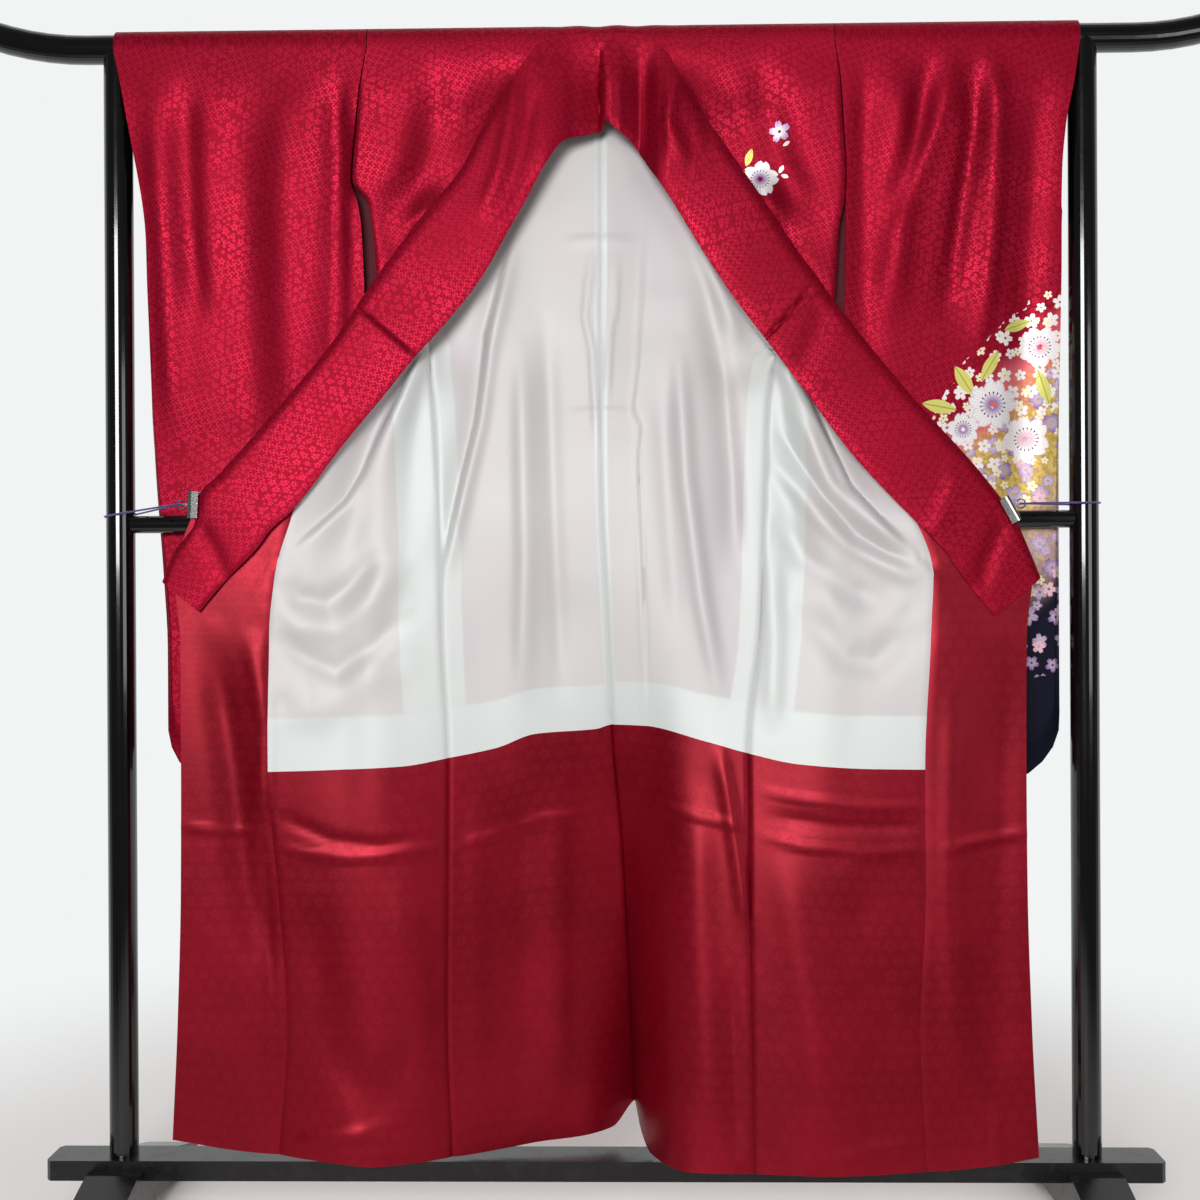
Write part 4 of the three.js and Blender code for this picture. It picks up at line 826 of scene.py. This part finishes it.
sleeveFolds = [
    (((-379, 1660), (-378, 1500), (-383, 1350), (-390, 1150)), 17, 12, -9.0, 0),
    (((-356, 1640), (-357, 1500), (-358, 1300)), 7, 7, 3.0, 0),
    (((-445, 1640), (-450, 1400), (-445, 1100)), 28, 28, 6, 0),
    (((-592, 1640), (-590, 1400), (-578, 1250)), 20, 20, -7, 0),
    (((-520, 1620), (-515, 1300), (-510, 900)), 34, 34, -7, 0),
    (((-636, 1620), (-626, 1400), (-618, 1100)), 18, 18, 5, 0),
    (((357, 1660), (356, 1500), (356, 1350), (360, 1150)), 12, 17, -7.0, 0),
    (((405, 1650), (410, 1450), (400, 1250)), 20, 20, 6, 0),
    (((495, 1690), (463, 1544), (413, 1433), (388, 1250)), 15, 15, 6, 0),
    (((455, 1690), (430, 1530), (392, 1380)), 14, 14, -10, 0),
    (((530, 1690), (541, 1558), (537, 1400), (520, 1200)), 15, 15, 7, 0),
    (((508, 1690), (510, 1540), (496, 1440), (470, 1250)), 15, 15, -10, 0),
    (((598, 1660), (584, 1300), (576, 900)), 22, 22, -7, 0),
]


def besideCollar(rows, left, right, stand):
    return (tuple((row[0], row[2]) for row in rows), left, right, stand, 0)


# The collar's weight presses the front in along its outer edge, deepest beside the neck.
frontFolds += [besideCollar(collarStations[13:8:-1], 56, 24, -24), besideCollar(collarStations[16:22], 24, 56, -24),
               besideCollar(collarStations[13:2:-1], 9, 9, -7), besideCollar(collarStations[16:27], 9, 9, -7)]


def foldField(x, z, folds):
    # Sum of the folds at each point: a bell across each path that dies away past its ends. A bell
    # with an edge changes its sign at the path.
    total = np.zeros_like(x)
    for path, left, right, stand, edge in folds:
        p = np.array(path, float)
        reach = np.full(x.shape, np.inf)
        side = np.ones(x.shape)
        for (ax, az), (bx, bz) in zip(p, p[1:]):
            dx, dz = bx - ax, bz - az
            t = np.clip(((x - ax) * dx + (z - az) * dz) / (dx * dx + dz * dz), 0, 1)
            far = np.hypot(x - ax - t * dx, z - az - t * dz)
            nearer = far < reach
            reach = np.where(nearer, far, reach)
            side = np.where(nearer, np.sign(dx * (z - az) - dz * (x - ax)), side)
        length = np.linalg.norm(np.diff(p, axis=0), axis=1).sum()
        ends = [np.hypot(x - q[0], z - q[1]) for q in (p[0], p[-1])]
        bell = np.exp(-((reach / np.where(side > 0, right, left)) ** 2))
        if edge:
            bell = bell * side * np.tanh(reach / edge)
        total += stand * bell * smoothStep(np.minimum(*ends), -0.02 * length, 0.25 * length)
    return total


def pushFolds(points, folds, where=1.0):
    # Moves points towards the open side by the folds there; nothing moves at the rail.
    x, z = points[..., 0], points[..., 2]
    held = 1 - smoothStep(z, 1560, 1650)
    points[..., 1] -= foldField(x, z, folds) * held * where
    return points


def keepBefore(points):
    # However deep its valleys, the front stays before the back panel: y bends softly towards a limit.
    limit = np.interp(points[..., 2], [1230, 1262, 1300, 1350, 1400, 1450, 1500, 1550, 1600, 1640],
                      [12, -2.5, -5.5, -2.5, 2, 3, 4, 7, 10, 40])
    points[..., 1] = limit - 2.5 * np.logaddexp(0, (limit - points[..., 1]) / 2.5)
    return points


def gridNormals(points, towards, ring=False):
    # Normals of a grid, turned so that those of one row, at its first point, go the given way of an axis.
    if ring:
        points = np.concatenate([points[-1:], points, points[:1]])
    along, across = np.gradient(points, axis=0), np.gradient(points, axis=1)
    normal = np.cross(across, along)
    normal /= np.maximum(np.linalg.norm(normal, axis=2, keepdims=True), 1e-9)
    normal = normal[1:-1] if ring else normal
    row, axis, way = towards
    return normal * math.copysign(1, normal[row, 0, axis] * way)


def outwards(points):  # towards the sky where the cloth lies over the rail
    return int(np.argmax(points[:, 0, 2])), 2, 1


def shell(name, points, normals, low, high, material, uv, facts, slotName, inner=None, ring=False):
    # A closed wall between two offsets of a grid, along its normals, with its rim; millimetres to metres.
    rows, columns = points.shape[:2]
    count = rows * columns
    place = np.concatenate([(points + normals * high).reshape(-1, 3),
                            (points + normals * low).reshape(-1, 3)]) * mm
    index = np.arange(count).reshape(rows, columns)
    if ring:
        index = np.concatenate([index, index[:1]])
    a, b, c, d = index[:-1, :-1], index[:-1, 1:], index[1:, 1:], index[1:, :-1]
    top = np.stack([a, b, c, d], axis=-1).reshape(-1, 4)
    under = top[:, ::-1] + count
    edges = [index[:, 0][::-1], index[:, -1]]
    if not ring:
        edges += [index[0], index[-1][::-1]]
    rims = [np.stack([e[:-1] + count, e[1:] + count, e[1:], e[:-1]], axis=-1) for e in edges]
    quads = np.concatenate([top, under, *rims])
    p = place[quads]
    volume = np.einsum("ij,ij->i", p[:, 0], np.cross(p[:, 1], p[:, 2])).sum()
    volume += np.einsum("ij,ij->i", p[:, 0], np.cross(p[:, 2], p[:, 3])).sum()
    if volume < 0:
        quads = quads[:, ::-1]
    data = bpy.data.meshes.new(name)
    data.vertices.add(len(place))
    data.vertices.foreach_set("co", place.ravel())
    data.loops.add(quads.size)
    data.loops.foreach_set("vertex_index", quads.ravel())
    data.polygons.add(len(quads))
    data.polygons.foreach_set("loop_start", np.arange(0, quads.size, 4))
    data.update(calc_edges=True)
    data.polygons.foreach_set("use_smooth", np.ones(len(quads), bool))
    layer = data.uv_layers.new(name="cloth")
    both = np.concatenate([uv.reshape(-1, 2)] * 2) * mm
    layer.data.foreach_set("uv", both[quads.ravel()].ravel())
    for key, value in facts.items():
        made = data.attributes.new(key, "FLOAT", "POINT")
        made.data.foreach_set("value", np.concatenate([value.ravel()] * 2) * mm)
    data.materials.append(material)
    if inner is not None:
        data.materials.append(inner)
        side = np.zeros(len(quads), int)
        side[len(top):2 * len(top)] = 1
        data.polygons.foreach_set("material_index", side)
    data.set_sharp_from_angle(angle=math.radians(50))
    data.validate()
    made = bpy.data.objects.new(name, data)
    bpy.context.collection.objects.link(made)
    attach(made, "root")
    return made


def lengths(points, axis):
    step = np.linalg.norm(np.diff(points, axis=axis), axis=2)
    start = np.zeros_like(np.take(step, [0], axis=axis))
    return np.concatenate([start, np.cumsum(step, axis=axis)], axis=axis)


def clothMap(points):
    across = lengths(points, 1)
    return np.dstack([across, lengths(points, 0).mean(axis=1)[:, None] + 0 * across])


def panelFacts(points, level, front=0.0):
    across = lengths(points, 1)
    return {"level": level[:, None] + 0 * across, "fromSide": across,
            "fromSeam": across[:, -1:] - across, "front": np.reshape(front, (-1, 1)) + 0 * across}


def seamGroove(points, first, last):
    # Where two panels are sewn together their edges roll back: a groove along each named edge.
    across = lengths(points, 1)
    for depth, far in ((first, across), (last, across[:, -1:] - across)):
        points[..., 1] += depth * np.exp(-((far / 3.2) ** 2)) * (1 - smoothStep(points[..., 2], 1560, 1640))
    return points


materials = {recipe.__name__: newMaterial(recipe) for recipe in (
    redSilk, patternedSilk, chestSilk, hemSilk, whiteLining, hemLining, sleeveLining, lacquer, boardLacquer,
    chrome, braidedElastic)}
print("materials made")


def bodyGrid(side):
    # Up the back, over the rail and down the front.
    at = stepsBetween(hemLevel, topLevel, liningSeam, okumiTop)
    back = levelSections(backRows[side], at, cloth["panelCells"])
    pushFolds(back, backFolds)
    seamGroove(back, 2.6, 2.2)
    front = levelSections(frontRows[side], at, cloth["panelCells"])[::-1]
    keepBefore(pushFolds(front, frontFolds))
    seamGroove(front, 2.6, 1.2)
    # Under the armhole the back and the front share their side edge.
    apart = (back[:, :1] - front[::-1, :1]) / 2 * (1 - smoothStep(at, 1225, 1262))[:, None, None]
    back -= apart * np.exp(-((lengths(back, 1) / 14) ** 2))[..., None]
    front += (apart * np.exp(-((lengths(front[::-1], 1) / 14) ** 2))[..., None])[::-1]
    turn = np.linspace(0, np.pi, 15)[1:-1]
    x = np.broadcast_to(back[-1, :, 0], (len(turn), back.shape[1]))
    r = stand["clothOverRail"]
    y = np.broadcast_to((r * np.cos(turn))[:, None], x.shape)
    z = stand["railHeight"] + (r * np.sin(turn))[:, None] * (1 + 0.05 * np.sin(x / 9) * np.exp(-((x / 75) ** 2)))
    points = np.concatenate([back, np.dstack([x, y, z]), front])
    level = np.concatenate([at, np.full(len(turn), topLevel + 30.0), at[::-1]])
    seam = int(np.searchsorted(at, liningSeam))
    return points, level, seam


bodies = {}
for side in ("left", "right"):
    points, level, seam = bodyGrid(side)
    bodies[side] = (points, level, seam, gridNormals(points, outwards(points)))
halfRows = len(stepsBetween(hemLevel, topLevel, liningSeam, okumiTop))


def joinNormals(first, second):  # along a seam both panels take the mean of their normals
    shared = first + second
    shared /= np.linalg.norm(shared, axis=1, keepdims=True)
    first[:], second[:] = shared, shared


joinNormals(*(bodies[side][3][:halfRows, -1] for side in ("left", "right")))
seamed = halfRows * 3 // 4  # the side seams end under the armholes
for side in ("left", "right"):
    normals = bodies[side][3]
    joinNormals(normals[:seamed, 0], normals[::-1][:seamed, 0])

for side, (points, level, seam, normals) in bodies.items():
    facts = panelFacts(points, level, np.arange(len(points)) > len(points) / 2)
    uv = clothMap(points)
    last = len(points) - 1
    outer = shell("bodySilk_" + side, points, normals, -cloth["outer"], 0.0,
                  materials["redSilk" if side == "left" else "chestSilk"], uv, facts, "red_silk")
    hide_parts("body_" + side)

    # At the open part of the armhole the lining ends a little inside the silk's edge.
    inside = points.copy()
    pulled = 0.9 * smoothStep(points[:, :1, 2], 1270, 1300)
    inside[:, :1] += (points[:, 1:2] - points[:, :1]) * pulled[..., None]

    def liningPiece(name, low, high, material, slotName):
        part = slice(low, high + 1)
        return shell(name, inside[part], normals[part], -cloth["liningTo"], -cloth["liningFrom"], material,
                     uv[part], {k: v[part] for k, v in facts.items()}, slotName)

    upper = liningPiece("upperLining_" + side, seam, last - seam, materials["whiteLining"], "white_lining")
    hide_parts("upper_lining_" + side)
    for place, low, high in (("back", 0, seam), ("front", last - seam, last)):
        hem = liningPiece(f"hemLining_{place}_{side}", low, high, materials["hemLining"], "red_lining")
        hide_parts(f"hem_lining_{place}_{side}")
print("body panels made")


def okumiGrid(side):
    at = stepsBetween(hemLevel, okumiTop, liningSeam)
    seamEdge = smoothTable(atLevels(frontRows[side]), at)[:, -2:]
    freeEdge = smoothTable(atLevels(okumiEdge[side]), at)
    share = np.linspace(0, 1, cloth["okumiCells"] + 1)[None, :, None]
    flat = seamEdge[:, None] * (1 - share) + freeEdge[:, None] * share
    z = heightAt(at, flat[:, :, 0])
    points = np.dstack([flat, z])
    return seamGroove(keepBefore(pushFolds(points, frontFolds)), 1.2, 0), at


for side in ("left", "right"):
    points, at = okumiGrid(side)
    normals = gridNormals(points, (0, 1, 1))
    facts = panelFacts(points, at)
    uv = clothMap(points)
    outer = shell("okumiSilk_" + side, points, normals, -cloth["outer"], 0.0,
                  materials["redSilk" if side == "left" else "hemSilk"], uv, facts, "red_silk")
    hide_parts("okumi_" + side)
    "bodySilk_" + side
    inner = shell("okumiLining_" + side, points, normals, -cloth["liningTo"], -cloth["liningFrom"],
                  materials["hemLining"], uv, facts, "red_lining")
    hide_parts("hem_lining_okumi_" + side)
print("okumi made")


# The neck's tables are places in x with how far the collar sinks back there, and how far its free edge
# and its seam are raised: a pressed pleat lies at the centre back.
collarCut = {"width": 0.112, "length": 2.10, "over": 1.00, "first": 7, "last": 23, "thick": 2.5,
             "roll": 4.0, "tilt": 12.0, "cells": 8 if rough else 18,
             "neck": [(-110, 0), (-90, -2), (-60, 0), (-35, 5), (-12, 13), (-8.5, 14), (-5, -3), (5, -6),
                      (18, -5), (33, 3), (45, 11), (56, 9), (70, -1), (84, -5), (100, -2), (115, 0)],
             "neckEdge": [(-61, 0), (-36, -3.5), (-9, -3), (-4, 9.5), (5, 6), (18, 1), (40, 0)],
             "neckSeam": [(-125, 0), (-92, 11), (-50, 14), (-10, 14), (30, 14), (68, 11), (105, 0)]}


def collarGrid(first, last):
    # Stations joined by a smooth line along both edges; the band between them is a little rounded.
    stations = np.array(collarStations, float)
    middle = (stations[:, :3] + stations[:, 3:]) / 2
    along = lengths(middle[:, None], 0)[:, 0]
    steps = round((along[last] - along[first]) / (cloth["step"] * 0.45))
    at = np.linspace(along[first], along[last], steps + 1)
    edges = smoothTable(np.column_stack([along, stations]), at)
    share = np.linspace(0, 1, collarCut["cells"] + 1)[None, :, None]
    points = edges[:, None, :3] * (1 - share) + edges[:, None, 3:] * share
    points[..., 1] -= 1.2 * np.sin(np.pi * share[..., 0]) ** 0.7
    x, z = points[..., 0], points[..., 2]
    held = smoothStep(z, 1440, 1500) * (1 - smoothStep(z, 1590, 1648))
    sunk = np.interp(x, *np.array(collarCut["neck"]).T) * held
    raised = np.interp(x, *np.array(collarCut["neckEdge"]).T) * share[..., 0] ** 2 * smoothStep(z, 1440, 1500)
    seam = np.interp(x, *np.array(collarCut["neckSeam"]).T) * (1 - share[..., 0]) ** 2 * smoothStep(z, 1590, 1640)
    points[..., 2] += seam
    down = share[..., 0] * 112  # millimetres from the seam edge
    rolled = collarCut["roll"] * (np.exp(-((down / 5.5) ** 2)) + 0.5 * np.exp(-(((112 - down) / 5) ** 2)))
    tilt = collarCut["tilt"] * share[..., 0] * np.exp(-((x / 62) ** 4)) * smoothStep(z, 1440, 1500)
    points[..., 1] += sunk + seam * 0.08 + rolled * (1 - smoothStep(z, 1560, 1630)) + tilt
    points[..., 2] += raised
    return pushFolds(points, collarFolds), at


collarFolds = [
    (((-358, 1298), (-256, 1209)), 2.6, 2.6, -2.6, 0), (((288, 1318), (208, 1228)), 2.6, 2.6, -2.6, 0),
    (((-110, 1630), (-123, 1608), (-147, 1483), (-180, 1394)), 10, 10, 4.0, 0),
    (((-95, 1600), (-118, 1500), (-150, 1400)), 9, 9, -2.5, 0),
    (((92, 1629), (99, 1603), (84, 1541), (112, 1470)), 10, 10, 4.0, 0),
    (((120, 1610), (128, 1560), (150, 1500)), 10, 10, -3.0, 0),
    (((545, 1000), (515, 930), (500, 880)), 13, 13, -4.0, 0),
    (((-575, 1000), (-545, 950), (-520, 890)), 13, 13, -3.0, 0),
    (((480, 1060), (460, 1000), (440, 960)), 14, 14, 2.5, 0),
    (((300, 1290), (280, 1230), (250, 1180)), 16, 16, -2.0, 0),
]

for name, node, first, last, low, high, length in (
    ("collarSilk", "collar", 0, len(collarStations) - 1, -collarCut["thick"], 0.0, collarCut["length"]),
    ("overCollarSilk", "over_collar", collarCut["first"], collarCut["last"], 0.4, 1.5, collarCut["over"]),
):
    points, at = collarGrid(first, last)
    normals = gridNormals(points, (0, 1, -1))
    facts = panelFacts(points, at + 2000)  # far above the lining's levels
    uv = np.dstack([facts["fromSide"], at[:, None] + 0 * facts["fromSide"]])
    made = shell(name, points, normals, low, high, materials["redSilk"], uv, facts, "red_silk")
    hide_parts(node)
print("collar made")


sleeveCut = {"width": 0.33, "length": 2.16, "mouthBottom": 1405.0, "corner": 85.0, "edge": 3.4, "pinch": 45.0,
             "backEdge": {"left": 24.0, "right": 16.0},
             "columns": 16 if rough else 44}


def sleeveGrid(side):
    # Lines down the front and back faces run from the fold over the rail to the seam along the
    # bottom, round the corner and up the wrist edge to the mouth. Near that seam the faces close up.
    table = sleeveRows[side]
    ends = smoothTable(table, [sleeveBottom, topLevel])
    width = abs(ends[0, 1] - ends[0, 0])
    corner = sleeveCut["corner"]
    flat, bend = width - corner, np.pi / 2 * corner
    rise = sleeveCut["mouthBottom"] - sleeveBottom - corner
    share = np.linspace(0, 1, sleeveCut["columns"] + 1)
    reach = share * (flat + bend + rise)
    angle = np.clip((reach - flat) / corner, 0, np.pi / 2)
    endAcross = np.where(reach <= flat, reach / width, (flat + corner * np.sin(angle)) / width)
    endZ = np.where(reach <= flat, sleeveBottom, sleeveBottom + corner * (1 - np.cos(angle)))
    endZ = np.where(reach > flat + bend, sleeveBottom + corner + reach - flat - bend, endZ)
    longest = topLevel - sleeveBottom
    rows = round(longest / cloth["step"])
    drop = np.linspace(0, 1, rows + 1)[:, None]
    drop = np.concatenate([drop[:-1], 1 - np.array([[4.0], [2.2], [1.0], [0.3], [0.0]]) / longest])
    across = share + (endAcross - share) * drop
    z = topLevel + (endZ - topLevel) * drop
    row = smoothTable(table, z.ravel()).reshape(*z.shape, -1)
    inner, outer, frontIn, frontOut, backIn, backOut = (row[..., k] for k in range(6))
    x = inner + (outer - inner) * across
    front = frontIn + (frontOut - frontIn) * across
    back = backIn + (backOut - backIn) * across
    fromSeam = (1 - drop) * longest + 0 * z
    full = smoothStep(fromSeam, 0, sleeveCut["pinch"])
    edge = sleeveCut["edge"]
    tip = np.sqrt(np.clip(1 - np.clip(1 - fromSeam / edge, 0, 1) ** 2, 0, 1))
    half = (edge * (1 - full) + (back - front) / 2 * full) * np.where(fromSeam < edge, tip, 1)
    middle = (front + back) / 2
    # Below the place where it is sewn to the body, the open edge of the back face stands further in.
    slit = smoothStep(z, 1190, 1250) * (1 - smoothStep(z, 1440, 1475)) * (1 - across)
    inwards = np.sign(inner) * sleeveCut["backEdge"][side] * slit
    faces = [np.dstack([x, middle - half, z])[::-1], np.dstack([x - inwards, middle + half, z])]
    turn = np.linspace(0, np.pi, 15)[1:-1]
    r = stand["clothOverRail"]
    topX = np.broadcast_to(x[0], (len(turn), len(share)))
    over = np.dstack([topX, np.broadcast_to((-r * np.cos(turn))[:, None], topX.shape),
                      np.broadcast_to((stand["railHeight"] + r * np.sin(turn))[:, None], topX.shape)])
    points = np.concatenate([faces[0], over, faces[1][:-1]])
    isFront = np.zeros(len(points))
    isFront[:len(faces[0])] = 1
    fade = smoothStep(np.concatenate([fromSeam[::-1], 999 + 0 * topX, fromSeam[:-1]]), 20, 90)
    waves = fade * np.where(isFront > 0, 1.0, -0.5)[:, None]
    down = np.concatenate([faces[0][..., 2], topLevel + np.broadcast_to((turn * r)[:, None], topX.shape),
                           2 * topLevel + np.pi * r - faces[1][:-1, :, 2]])
    return pushFolds(points, sleeveFolds, waves), down


for side in ("left", "right"):
    points, down = sleeveGrid(side)
    normals = gridNormals(points, outwards(points), ring=True)
    across = lengths(points, 1)
    facts = {"level": 3000 + 0 * across, "fromSide": 900 + across, "fromSeam": 900 + 0 * across,
             "front": 0 * across}
    uv = np.dstack([points[..., 0], down])
    # The inside faces of the sleeves take the inside material, a dark painted shade.
    made = shell("sleeveSilk_" + side, points, normals, -2.2, 0.0,
                 materials["redSilk" if side == "left" else "patternedSilk"], uv, facts,
                 "red_silk" if side == "left" else "patterned_silk", inner=materials["sleeveLining"], ring=True)
    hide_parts("sleeve_" + side)
print("sleeves made")


for finish, nodes in {
    "lacquer": ("rail", "upright_left", "upright_right", "crossbar"),
    "boardLacquer": ("base_board", "foot_left", "foot_right"),
    "chrome": ("clip_left", "clip_right", "clip_ring_left", "clip_ring_right"),
    "braidedElastic": ("elastic_loop_left", "elastic_loop_right"),
}.items():
    for node in nodes:
        slots = bpy.data.objects[node].data.materials
        slots.clear()
        slots.append(materials[finish])
print("stand finished")
